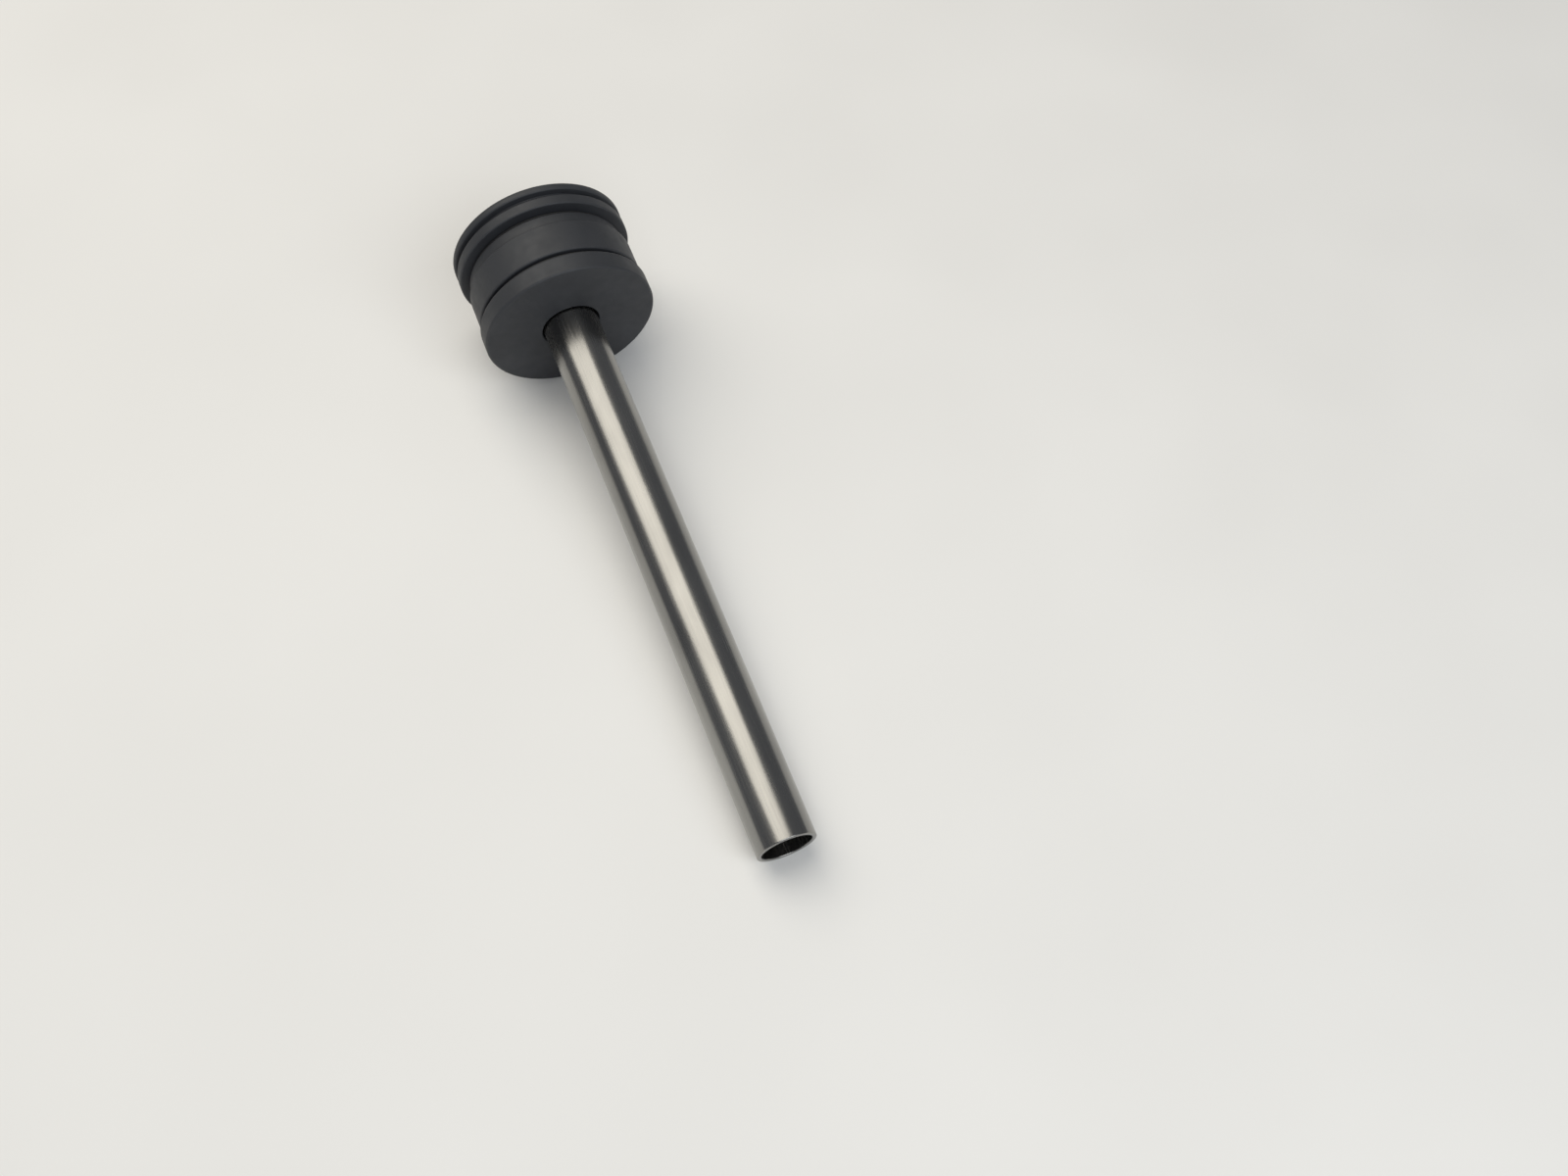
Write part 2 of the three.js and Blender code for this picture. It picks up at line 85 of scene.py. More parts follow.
BOTH = (-1, 1)  # the two sides of the probe

# ---- The probe's own axis ----

JOINTS = {joint["name"]: joint for joint in frame["joints"]}
SIDE = Vector((1, 0, 0))
REAR = Vector(JOINTS["insert_slide"]["axis"]).normalized()
UPWARD = SIDE.cross(REAR)
TILT = math.atan2(REAR.z, REAR.y)


def probe_to_row():
    """From millimetres on the probe's own axis to metres in the row's frame."""
    corners = [v.co for v in frame["nodes"]["front_flange"].data.vertices]

    def middle(direction):
        reach = [corner.dot(direction) for corner in corners]
        return (min(reach) + max(reach)) / 2

    front = min(corner.dot(REAR) for corner in corners)
    origin = SIDE * middle(SIDE) + UPWARD * middle(UPWARD) + REAR * front
    turn = Matrix((SIDE, REAR, UPWARD)).transposed().to_4x4()
    return Matrix.Translation(origin) @ turn @ Matrix.Scale(MM, 4)


PROBE = probe_to_row()


class Size:
    """A CAD node's size: its box, and its radii about its own middle line along y."""

    def __init__(self, node):
        to_probe = PROBE.inverted()
        points = [to_probe @ v.co for v in frame["nodes"][node].data.vertices]
        self.low = Vector([min(p[i] for p in points) for i in range(3)])
        self.high = Vector([max(p[i] for p in points) for i in range(3)])
        self.start, self.end = self.low.y, self.high.y
        self.x = (self.low.x + self.high.x) / 2
        self.z = (self.low.z + self.high.z) / 2
        spokes = [math.hypot(p.x - self.x, p.z - self.z) for p in points]
        self.radius, self.bore = max(spokes), min(spokes)


# ---- Mesh work ----


def finished(mesh):
    """A bmesh as mesh data, with its faces pointing out."""
    bmesh.ops.recalc_face_normals(mesh, faces=mesh.faces)
    data = bpy.data.meshes.new("piece")
    mesh.to_mesh(data)
    mesh.free()
    return data


def rounded(corners):
    """An outline's points, with an arc at each corner that has a rounding."""
    points = []
    for i, (r, y, *rounding) in enumerate(corners):
        here = Vector((r, y))
        if not rounding:
            points.append(here)
            continue
        before = (Vector(corners[i - 1][:2]) - here).normalized()
        after = (Vector(corners[(i + 1) % len(corners)][:2]) - here).normalized()
        half = before.angle(after) / 2
        centre = here + (before + after).normalized() * rounding[0] / math.sin(half)
        first = here + before * rounding[0] / math.tan(half) - centre
        last = here + after * rounding[0] / math.tan(half) - centre
        for step in range(ARC_STEPS + 1):
            spoke = first.lerp(last, step / ARC_STEPS).normalized() * rounding[0]
            points.append(centre + spoke)
    return points


def turned(corners, sides=SMALL_SIDES, x=0.0, z=0.0, shape=None):
    """An outline turned about y. It closes on itself, or starts and ends on the axis.

    A shape gives the radius for an outline's radius, its y and the turn round the axis.
    """
    shape = shape or (lambda r, y, turn: r)
    mesh = bmesh.new()
    rings = []
    for r, y in rounded(corners):
        count = sides if r > 1e-6 else 1
        ring = []
        for i in range(count):
            turn = 2 * math.pi * (i + 0.5) / sides
            reach = shape(r, y, turn)
            ring.append(mesh.verts.new((x + reach * math.sin(turn), y, z + reach * math.cos(turn))))
        rings.append(ring)
    pairs = list(zip(rings, rings[1:]))
    if len(rings[0]) > 1:
        pairs.append((rings[-1], rings[0]))
    for lower, upper in pairs:
        for i in range(sides):
            j = (i + 1) % sides
            corner = [lower[i % len(lower)], lower[j % len(lower)]]
            corner += [upper[j % len(upper)], upper[i % len(upper)]]
            mesh.faces.new(list(dict.fromkeys(corner)))
    return finished(mesh)


def rod(radius, start, end, x=0.0, z=0.0, rounding=0.0, sides=SMALL_SIDES):
    """A round pin along y, also the tool for a round hole."""
    edge = (rounding,) if rounding else ()
    corners = [(0, start), (radius, start, *edge), (radius, end, *edge), (0, end)]
    return turned(corners, sides, x, z)


def hole(radius, start, end, x=0.0, z=0.0, mouth=0.15):
    """The tool for a hole that opens towards +y, with a chamfered mouth at y = end."""
    corners = [(0, start), (radius, start), (radius, end - mouth)]
    corners += [(radius + 2 * mouth, end + mouth), (0, end + mouth)]
    return turned(corners, SMALL_SIDES, x, z)


def washer(inner, outer, start, end, rounding, sides=SMALL_SIDES, x=0.0, z=0.0, shape=None):
    """A plain ring with rounded corners."""
    corners = [(inner, start), (outer, start), (outer, end), (inner, end)]
    return turned([(*corner, rounding) for corner in corners], sides, x, z, shape)


def box(low, high, bevel=0.0, steps=3):
    """A block between two corners, with rounded edges if a bevel is given."""
    mesh = bmesh.new()
    middle = (Vector(low) + Vector(high)) / 2
    size = Vector(high) - Vector(low)
    place = Matrix.Translation(middle) @ Matrix.Diagonal((*size, 1))
    bmesh.ops.create_cube(mesh, size=1, matrix=place)
    if bevel:
        edges = mesh.edges[:]
        bmesh.ops.bevel(mesh, geom=edges, offset=bevel, segments=steps, profile=0.5, affect="EDGES")
    return finished(mesh)


def smooth_path(points, steps):
    """Points along a Catmull-Rom curve, with so many steps to each stretch."""
    knots = [Vector(p) for p in points]
    knots = [2 * knots[0] - knots[1], *knots, 2 * knots[-1] - knots[-2]]
    path = []
    for a, b, c, d in zip(knots, knots[1:], knots[2:], knots[3:]):
        for step in range(steps):
            t = step / steps
            even = 2 * b + (c - a) * t
            bent = (2 * a - 5 * b + 4 * c - d) * t**2 + (3 * b - a - 3 * c + d) * t**3
            path.append((even + bent) / 2)
    path.append(knots[-2])
    return path


def swept(path, radius, sides=24):
    """A round wire along a path of points."""
    mesh = bmesh.new()
    across = (path[1] - path[0]).orthogonal().normalized()
    rings = []
    for i, here in enumerate(path):
        ahead = (path[min(i + 1, len(path) - 1)] - path[max(i - 1, 0)]).normalized()
        across = (across - ahead * across.dot(ahead)).normalized()
        turns = [2 * math.pi * k / sides for k in range(sides)]
        spokes = [across * math.cos(a) + ahead.cross(across) * math.sin(a) for a in turns]
        rings.append([mesh.verts.new(here + spoke * radius) for spoke in spokes])
    for lower, upper in zip(rings, rings[1:]):
        for i in range(sides):
            j = (i + 1) % sides
            mesh.faces.new((lower[i], lower[j], upper[j], upper[i]))
    mesh.faces.new(rings[0])
    mesh.faces.new(rings[-1])
    return finished(mesh)


def loop(radius, thickness, x, y, z, sides=48, section=16):
    """A ring of round wire round the x axis."""
    mesh = bmesh.new()
    rings = []
    for i in range(sides):
        turn = 2 * math.pi * i / sides
        outward = Vector((0, math.cos(turn), math.sin(turn)))
        ring = []
        for k in range(section):
            a = 2 * math.pi * k / section
            spoke = outward * (radius + thickness * math.cos(a)) + SIDE * thickness * math.sin(a)
            ring.append(mesh.verts.new(Vector((x, y, z)) + spoke))
        rings.append(ring)
    for i, lower in enumerate(rings):
        upper = rings[(i + 1) % sides]
        for k in range(section):
            j = (k + 1) % section
            mesh.faces.new((lower[k], lower[j], upper[j], upper[k]))
    return finished(mesh)


def strip(points, width, low, high):
    """A flat track of even width that lies across y, along points of (x, z)."""
    path = [Vector(p) for p in points]
    left, right = [], []
    for i, here in enumerate(path):
        arriving = (here - path[i - 1]).normalized() if i else None
        leaving = (path[i + 1] - here).normalized() if i + 1 < len(path) else None
        ahead = ((arriving or leaving) + (leaving or arriving)).normalized()
        sideways = Vector((-ahead.y, ahead.x))
        reach = width / 2 / ahead.dot(leaving or arriving)
        left.append(here + sideways * reach)
        right.append(here - sideways * reach)
    mesh = bmesh.new()
    outline = left + right[::-1]
    bottom = [mesh.verts.new((p.x, low, p.y)) for p in outline]
    top = [mesh.verts.new((p.x, high, p.y)) for p in outline]
    last = len(outline) - 1
    for i in range(len(path) - 1):
        mesh.faces.new((bottom[i], bottom[i + 1], bottom[last - i - 1], bottom[last - i]))
        mesh.faces.new((top[i], top[i + 1], top[last - i - 1], top[last - i]))
    for i in range(len(outline)):
        j = (i + 1) % len(outline)
        mesh.faces.new((bottom[i], bottom[j], top[j], top[i]))
    return finished(mesh)


def thread(crest, pitch, depth):
    """The shape of a screw thread on all of an outline that reaches the crest's radius."""

    def shape(r, y, turn):
        if abs(r - crest) > 1e-6:
            return r
        phase = (y / pitch - turn / (2 * math.pi)) % 1.0
        return r - depth * min(1.0, 1.25 * abs(2 * phase - 1))

    return shape


def threaded_length(radius, start, end, pitch):
    """Outline points at even steps, close enough for a thread to show."""
    steps = max(2, math.ceil((end - start) / pitch * 8))
    return [(radius, start + (end - start) * i / steps) for i in range(steps + 1)]


def as_object(data):
    thing = bpy.data.objects.new("tool", data)
    bpy.context.scene.collection.objects.link(thing)
    return thing


def combined(data, others, operation):
    """A mesh with others cut from it or joined to it."""
    thing = as_object(data)
    for other in others:
        tool = as_object(other)
        modifier = thing.modifiers.new("combine", "BOOLEAN")
        modifier.operation = operation
        modifier.solver = "EXACT"
        modifier.object = tool
        graph = bpy.context.evaluated_depsgraph_get()
        result = bpy.data.meshes.new_from_object(thing.evaluated_get(graph))
        thing.modifiers.clear()
        thing.data = result
        bpy.data.objects.remove(tool)
    result = thing.data
    bpy.data.objects.remove(thing)
    return result


def cut(data, *tools):
    return combined(data, tools, "DIFFERENCE")


def fused(data, *others):
    return combined(data, others, "UNION")


def gathered(*parts):
    """Separate bodies in one mesh."""
    mesh = bmesh.new()
    for part in parts:
        mesh.from_mesh(part)
    return finished(mesh)


def make(name, data, body, material, replaces=()):
    """Places a piece: it rides on a body, takes its finish from a slot and stands for CAD nodes.

    Its shading is weighted by area, so that flat faces look flat up to their rounded edges.
    """
    data.transform(PROBE)
    data.shade_smooth()
    data.set_sharp_from_angle(angle=SHARP)
    data.materials.clear()
    data.materials.append(material)
    piece = bpy.data.objects.new(name, data)
    bpy.context.scene.collection.objects.link(piece)
    shading = piece.modifiers.new("shading", "WEIGHTED_NORMAL")
    shading.keep_sharp = True
    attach(piece, body)
    if replaces:
        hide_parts(*replaces)


def make_fine(node, data, body, material):
    """Places the piece that alone stands for a CAD node."""
    make(f"{node}_fine", data, body, material, [node])


def make_ring(node, body, material, rounding):
    """A plain ring of the node's own size, with rounded corners."""
    size = Size(node)
    data = washer(size.bore, size.radius, size.start, size.end, rounding, HEAD_SIDES, size.x, size.z)
    make_fine(node, data, body, material)


# ---- Materials ----


def add(tree, kind, inputs=None, **settings):
    """Adds a node, with its settings, and its inputs linked or given a value."""
    node = tree.nodes.new(kind)
    for name, value in settings.items():
        setattr(node, name, value)
    for name, value in (inputs or {}).items():
        if isinstance(value, bpy.types.NodeSocket):
            tree.links.new(value, node.inputs[name])
        else:
            node.inputs[name].default_value = value
    return node


class Surface:
    """A principled surface whose colour, roughness and relief come from noise."""

    def __init__(self, name, metallic=0.0, **sockets):
        self.material = bpy.data.materials.new(name)
        self.material.use_nodes = True
        self.tree = self.material.node_tree
        self.shader = self.tree.nodes["Principled BSDF"]
        self.shader.inputs["Metallic"].default_value = metallic
        for socket, value in sockets.items():
            self.shader.inputs[socket.replace("_", " ")].default_value = value
        place = add(self.tree, "ShaderNodeTexCoord").outputs["Object"]
        turn = {"Vector": place, "Rotation": (-TILT, 0, 0), "Scale": (1 / MM,) * 3}
        self.place = add(self.tree, "ShaderNodeMapping", turn).outputs["Vector"]

    def noise(self, size, stretch=(1, 1, 1), detail=3.0, distortion=0.0):
        """Noise with features of a size in millimetres, stretched along x, y or z."""
        scale = tuple(1 / (size * s) for s in stretch)
        place = add(self.tree, "ShaderNodeMapping", {"Vector": self.place, "Scale": scale})
        inputs = {"Vector": place.outputs["Vector"], "Scale": 1.0, "Detail": detail}
        inputs["Distortion"] = distortion
        return add(self.tree, "ShaderNodeTexNoise", inputs).outputs["Fac"]

    def sideways(self, low, high):
        """From 0 to 1 as the place goes from low to high along x."""
        x = add(self.tree, "ShaderNodeSeparateXYZ", {"Vector": self.place}).outputs["X"]
        return self.spread(x, 0.0, 1.0, low, high)

    def ramp(self, value, stops, interpolation="LINEAR"):
        """Colours by value: stops are (place, (r, g, b))."""
        node = add(self.tree, "ShaderNodeValToRGB", {"Fac": value})
        node.color_ramp.interpolation = interpolation
        elements = node.color_ramp.elements
        while len(elements) < len(stops):
            elements.new(1.0)
        for element, (position, color) in zip(elements, stops):
            element.position = position
            element.color = (*color, 1.0)
        return node.outputs["Color"]

    def spread(self, value, low, high, start=0.3, end=0.7):
        """Value from start to end as a number from low to high."""
        inputs = {"Value": value, "From Min": start, "From Max": end, "To Min": low, "To Max": high}
        return add(self.tree, "ShaderNodeMapRange", inputs).outputs["Result"]

    def mix(self, share, first, second):
        """A colour between two, by a share from 0 to 1."""
        node = add(self.tree, "ShaderNodeMix", data_type="RGBA")
        sockets = (node.inputs[0], node.inputs[6], node.inputs[7])
        for socket, value in zip(sockets, (share, first, second)):
            if isinstance(value, bpy.types.NodeSocket):
                self.tree.links.new(value, socket)
            else:
                socket.default_value = (*value, 1.0) if isinstance(value, tuple) else value
        return node.outputs[2]

    def edges(self, width=0.3):
        """From 0 on flat places to 1 on edges, over a width in millimetres."""
        soft = add(self.tree, "ShaderNodeBevel", {"Radius": width * MM}).outputs["Normal"]
        true = add(self.tree, "ShaderNodeNewGeometry").outputs["Normal"]
        inputs = {0: soft, 1: true}
        node = add(self.tree, "ShaderNodeVectorMath", inputs, operation="DOT_PRODUCT")
        flat, edge = 0.995, 0.93  # cosines of the angle between the two normals
        return self.spread(node.outputs["Value"], 0.0, 1.0, flat, edge)

    def color(self, value):
        self.tree.links.new(value, self.shader.inputs["Base Color"])
        return self

    def roughness(self, value):
        self.tree.links.new(value, self.shader.inputs["Roughness"])
        return self

    def relief(self, *layers):
        """Bump layers, each (height, depth in millimetres)."""
        normal = None
        for height, depth in layers:
            inputs = {"Height": height, "Distance": depth * MM, "Strength": 1.0}
            if normal is not None:
                inputs["Normal"] = normal
            normal = add(self.tree, "ShaderNodeBump", inputs).outputs["Normal"]
        self.tree.links.new(normal, self.shader.inputs["Normal"])
        return self


def shades(base, share):
    """A darker and a lighter form of a colour, as ramp stops."""
    darker, lighter = (tuple(min(1.0, c * k) for c in base) for k in (1 - share, 1 + share))
    return [(0.3, darker), (0.7, lighter)]


def moulding(name, base, share=0.12, rough=(0.36, 0.46), grain=0.16, depth=0.006, wear_and_highlight=0.5, ior=1.5):
    """Moulded plastic: fine spark texture, faint flow marks, and edges painted lighter, partly as
    rubbed wear and partly as a painted highlight.
    """
    surface = Surface(name, IOR=ior)
    flow = surface.noise(9.0, (1, 1.8, 1), detail=4, distortion=0.6)
    tint = surface.ramp(flow, shades(base, share))
    # The edge colour is lighter than the base: partly rubbed wear, partly a painted highlight along
    # the edges.
    rubbed_and_highlit = tuple(min(1.0, c * (1 + wear_and_highlight) + 0.012 * wear_and_highlight) for c in base)
    surface.color(surface.mix(surface.edges(), tint, rubbed_and_highlit))
    surface.roughness(surface.spread(surface.noise(2.2, detail=5), *rough))
    surface.relief((surface.noise(6.0), depth * 1.5), (surface.noise(grain, detail=2), depth))
    return surface.material


def metal(name, base, share=0.08, rough=(0.22, 0.34), stretch=(1, 1, 1), size=0.5, depth=0.002):
    """Plain metal, with marks stretched along x, y or z."""
    surface = Surface(name, metallic=1.0)
    marks = surface.noise(size, stretch, detail=4)
    surface.color(surface.ramp(surface.noise(3.0, stretch), shades(base, share)))
    surface.roughness(surface.spread(marks, *rough))
    return surface.relief((marks, depth)).material


def tube_steel():
    """Drawn stainless tube: fine marks along its length, a faint waviness and a few dull clouds."""
    surface = Surface("probe_steel", metallic=1.0)
    drawn = surface.noise(0.35, (1, 40, 1), detail=5)
    cloud = surface.noise(7.0, (1, 3, 1), detail=4, distortion=0.4)
    dull, bright = (0.255, 0.25, 0.24), (0.32, 0.315, 0.30)
    surface.color(surface.mix(surface.spread(cloud, 0.0, 1.0), bright, dull))
    surface.roughness(surface.spread(drawn, 0.20, 0.29))
    wave = surface.noise(14.0, (1, 1.6, 1), detail=1)
    speck = surface.noise(0.22, detail=3)
    return surface.relief((wave, 0.05), (drawn, 0.0012), (speck, 0.0008)).material


def rubber():
    surface = Surface("rubber", IOR=1.5)
    surface.color(surface.ramp(surface.noise(2.0, detail=4), shades((0.016, 0.016, 0.017), 0.25)))
    surface.roughness(surface.spread(surface.noise(1.0), 0.62, 0.78))
    return surface.relief((surface.noise(0.12), 0.008)).material


def quartz():
    """Clear fused quartz with a very faint haze."""
    surface = Surface("quartz", IOR=1.46, Transmission_Weight=1.0)
    clear = [(0.3, (0.96, 0.98, 0.99)), (0.7, (0.99, 1.0, 1.0))]
    surface.color(surface.ramp(surface.noise(4.0), clear))
    surface.roughness(surface.spread(surface.noise(1.5), 0.01, 0.05))
    return surface.relief((surface.noise(5.0, detail=1), 0.01)).material


def resistor_lacquer(half):
    """Beige lacquer with four colour bands round a body that reaches half to each side."""
    beige = (0.55, 0.40, 0.22)
    bands = [
        (-0.74, (0.16, 0.05, 0.02)),
        (-0.30, (0.01, 0.01, 0.01)),
        (-0.02, (0.55, 0.12, 0.01)),
        (0.66, (0.50, 0.33, 0.09)),
    ]
    width = 0.13
    stops = [(0.0, beige)]
    for start, color in bands:
        stops += [((start + 1) / 2, color), ((start + width + 1) / 2, beige)]
    surface = Surface("resistor_body", IOR=1.5)
    painted = surface.ramp(surface.sideways(-half, half), stops, "CONSTANT")
    faded = surface.spread(surface.noise(1.2), 0.0, 0.12)
    surface.color(surface.mix(faded, painted, (0.3, 0.22, 0.12)))
    surface.roughness(surface.spread(surface.noise(0.8), 0.24, 0.34))
    return surface.relief((surface.noise(0.5), 0.01)).material


def capacitor_film(start):
    """Dark blue shrink film with a pale stripe on the side beyond x = start."""
    blue, pale = (0.012, 0.035, 0.16), (0.45, 0.48, 0.52)
    surface = Surface("capacitor_body", IOR=1.5)
    stops = [(0.0, blue), (0.02, pale)]
    printed = surface.ramp(surface.sideways(start, start + 1), stops, "CONSTANT")
    faded = surface.spread(surface.noise(1.5), 0.0, 0.15)
    surface.color(surface.mix(faded, printed, (0.02, 0.05, 0.2)))
    surface.roughness(surface.spread(surface.noise(0.8), 0.2, 0.3))
    return surface.relief((surface.noise(0.9), 0.012)).material


# Each moulding's wear value also sets how strong the painted highlight along its edges is.
BLACK = moulding("black_moulding", (0.030, 0.032, 0.037), rough=(0.5, 0.62), ior=1.45)
GREY = moulding("grey_moulding", (0.11, 0.115, 0.12))
GREEN = moulding("green_moulding", (0.03, 0.16, 0.085), rough=(0.3, 0.4))
WHITE = moulding("white_insulation", (0.75, 0.73, 0.68), share=0.04, wear_and_highlight=0.05)
CERAMIC = moulding("ceramic", (0.78, 0.74, 0.66), share=0.05, rough=(0.42, 0.55), wear_and_highlight=0.05)
FIBRE = moulding(
    "gasket_fibre", (0.17, 0.052, 0.026), share=0.25, rough=(0.7, 0.85), grain=0.3, depth=0.02
)
LAMINATE = moulding("board_laminate", (0.012, 0.085, 0.045), rough=(0.22, 0.32), depth=0.003)
TRACK = moulding("board_tracks", (0.02, 0.13, 0.065), rough=(0.2, 0.3), depth=0.002)
RED = moulding("red_insulation", (0.32, 0.022, 0.015), rough=(0.35, 0.45), wear_and_highlight=0.1)
BLUE = moulding("blue_insulation", (0.02, 0.06, 0.28), rough=(0.35, 0.45), wear_and_highlight=0.1)
STEEL = tube_steel()
ZINC = metal("zinc_steel", (0.58, 0.60, 0.62))
NICKEL = metal("nickel", (0.60, 0.57, 0.52))
BRASS = metal("brass", (0.68, 0.45, 0.18))
TIN = metal("tinned_wire", (0.62, 0.62, 0.61), rough=(0.22, 0.36), size=0.3)
SOLDER = metal("solder", (0.55, 0.55, 0.56), rough=(0.22, 0.38), size=0.3, depth=0.01)
ALUMINIUM = metal("aluminium", (0.70, 0.70, 0.71), rough=(0.3, 0.42), size=0.4)
RUBBER = rubber()
QUARTZ = quartz()

# ---- Sizes that the frame's boxes don't give ----

GAP = 0.3  # between pieces that touch

TUBE_RADIUS, TUBE_LIP = 5.5, 0.7
FLANGE_THICK, FLANGE_WEB = 4.2, 3.0
BOSS_RADIUS, BOSS_END = 8.0, 4.4
SPIGOT_RADIUS, SPIGOT_WALL = 12.1, 1.5

DRUM_STEP, DRUM_NECK, DRUM_BORE, DRUM_SHOULDER = 12.3, 15.9, 14.0, 8.5
SCREW_BOSS, SCREW_BOSS_START, BOSS_WEB_HALF = 2.6, 10.6, 1.6

CAP_START, RIB_END, RIM_START, CAP_GROOVE = 15.9, 18.1, 19.5, 16.1
REAR_WALL, SKIRT_WALL = 2.3, 0.7
CAP_BOSS, CAP_BOSS_START = 3.4, 15.7
CAP_SCREW_SINK, CAP_SCREW_HEAD, CAP_SCREW_SHANK, CAP_SCREW_THICK = 1.8, 2.6, 1.25, 1.3
INLET_BODY, INLET_INNER_LIP = 4.4, 5.4

BOARD_SCREW_SHANK, BOARD_SCREW_THICK = 0.7, 1.1
TERMINAL_SCREW_SHANK, TERMINAL_SCREW_THICK = 0.6, 1.3
TERMINAL_HOLE, CHAMBER_HALF, CHAMBER_TOP = 1.8, 1.6, 14.4
SLEEVE_RADIUS, SLEEVE_COLLAR = 3.6, 0.9
LEAD_RADIUS = 0.6
PIN_RADIUS = 0.4
CONTACT_RADIUS, CONTACT_BORE = 1.05, 0.7
BULB_WALL, BULB_NOSE = 0.4, 3.0

tube = Size("probe_tube")
flange = Size("front_flange")
drum = Size("drum_housing")
cap = Size("rear_cap")
inlet = Size("cable_grommet")
carrier = Size("insert_carrier")
board = Size("circuit_board")
cap_screws = [Size("cap_screw_1"), Size("cap_screw_2")]
board_screws = [Size("board_screw_1"), Size("board_screw_2")]
terminal_screws = [Size("terminal_screw_1"), Size("terminal_screw_2")]
leads = [Size("lead_1"), Size("lead_2")]

CAP_INSIDE = cap.end - REAR_WALL
BOARD_TOP = board.end + GAP

# ---- Screws ----


def screw(size, head_thick, shank, pitch):
    """A pan-head screw with a cross recess and a thread, of the CAD screw's size."""
    seat = size.end - head_thick
    runout = seat - 0.8 * pitch
    outline = [
        (0, size.start),
        (shank * 0.7, size.start),
        *threaded_length(shank, size.start + shank * 0.3, runout, pitch),
        (shank * 0.9, runout + 0.1),
        (shank * 0.9, seat),
        (size.radius, seat, head_thick * 0.12),
        (size.radius, size.end, head_thick * 0.5),
        (0, size.end),
    ]
    data = turned(outline, SMALL_SIDES, size.x, size.z, thread(shank, pitch, pitch * 0.45))
    long, short = size.radius * 0.58, size.radius * 0.13
    floor = size.end - head_thick * 0.6
    recess = [
        box((size.x - x, floor, size.z - z), (size.x + x, size.end + 1, size.z + z), short * 0.4, 2)
        for x, z in ((long, short), (short, long))
    ]
    return cut(data, *recess)


def make_screw(node, size, body, material, head_thick, shank, pitch):
    make_fine(node, screw(size, head_thick, shank, pitch), body, material)


# ---- Probe tube, flange and drum ----


def probe_tube():
    lip_start = tube.end - TUBE_LIP
    outline = [
        (tube.bore, tube.start, 0.18),
        (TUBE_RADIUS, tube.start, 0.22),
        (TUBE_RADIUS, lip_start, 0.25),
        (tube.radius, lip_start, 0.2),
        (tube.radius, tube.end, 0.2),
        (tube.bore, tube.end, 0.3),
    ]
    return turned(outline, HEAD_SIDES)


def front_flange():
    bore = TUBE_RADIUS + GAP
    outline = [
        (bore, 0, 0.25),
        (flange.radius, 0, 0.55),
        (flange.radius, FLANGE_THICK, 0.55),
        (SPIGOT_RADIUS, FLANGE_THICK),
        (SPIGOT_RADIUS, flange.end, 0.25),
        (SPIGOT_RADIUS - SPIGOT_WALL, flange.end, 0.25),
        (SPIGOT_RADIUS - SPIGOT_WALL, FLANGE_WEB, 0.3),
        (BOSS_RADIUS, FLANGE_WEB, 0.3),
        (BOSS_RADIUS, BOSS_END, 0.2),
        (bore, BOSS_END, 0.2),
    ]
    return turned(outline, HEAD_SIDES)


def drum_housing():
    outline = [
        (SPIGOT_RADIUS + GAP, drum.start, 0.2),
        (drum.radius, drum.start, 0.4),
        (drum.radius, DRUM_STEP, 0.35),
        (DRUM_NECK, DRUM_STEP, 0.2),
        (DRUM_NECK, drum.end, 0.2),
        (DRUM_BORE, drum.end, 0.25),
        (DRUM_BORE, DRUM_SHOULDER, 0.2),
        (SPIGOT_RADIUS + GAP, DRUM_SHOULDER, 0.2),
    ]
    shell = turned(outline, HEAD_SIDES)
    web_outer, web_end = DRUM_BORE + 0.6, drum.end - 0.1  # each boss's web reaches into the wall
    bosses, holes = [], []
    for size in cap_screws:
        low_x, high_x = sorted((size.x, math.copysign(web_outer, size.x)))
        bosses.append(rod(SCREW_BOSS, SCREW_BOSS_START, drum.end, size.x, 0, 0.2))
        bosses.append(
            box((low_x, SCREW_BOSS_START, -BOSS_WEB_HALF), (high_x, web_end, BOSS_WEB_HALF), 0.15)
        )
        holes.append(hole(CAP_SCREW_SHANK + GAP, SCREW_BOSS_START - 1, drum.end, size.x))
    return cut(fused(shell, *bosses), *holes)


def clamp_nut():
    """A ring nut, threaded outside, with two slots for a spanner."""
    nut = Size("tube_clamp_nut")
    pitch, depth, edge = 0.75, 0.18, 0.2
    outline = [
        (nut.bore, nut.start, edge),
        (nut.radius - edge, nut.start),
        *threaded_length(nut.radius, nut.start + edge, nut.end - edge, pitch),
        (nut.radius - edge, nut.end),
        (nut.bore, nut.end, edge),
    ]
    ring = turned(outline, HEAD_SIDES, shape=thread(nut.radius, pitch, depth))
    slot_start, slot_half, slot_depth = 7.4, 0.9, 0.9
    slots = []
    for side in BOTH:
        low_x, high_x = sorted((side * slot_start, side * (nut.radius + 1)))
        low = (low_x, nut.end - slot_depth, -slot_half)
        slots.append(box(low, (high_x, nut.end + 1, slot_half), 0.12))
    return cut(ring, *slots)


make_fine("probe_tube", probe_tube(), "root", STEEL)
make_fine("front_flange", front_flange(), "root", BLACK)
make_fine("drum_housing", drum_housing(), "root", BLACK)
make_fine("tube_clamp_nut", clamp_nut(), "root", BRASS)
make_ring("flange_gasket", "root", RUBBER, 0.15)
make_ring("tube_gasket", "root", FIBRE, 0.1)

# ---- Window at the tip ----

window = Size("window")
disc = rod(window.radius, window.start, window.end, rounding=0.08, sides=HEAD_SIDES)
make_fine("window", disc, "root", QUARTZ)
make_ring("window_retaining_ring", "root", NICKEL, 0.15)
make_ring("window_seal", "root", RUBBER, 0.2)
make_ring("window_seat_ring", "root", NICKEL, 0.15)

# ---- Rear cap ----


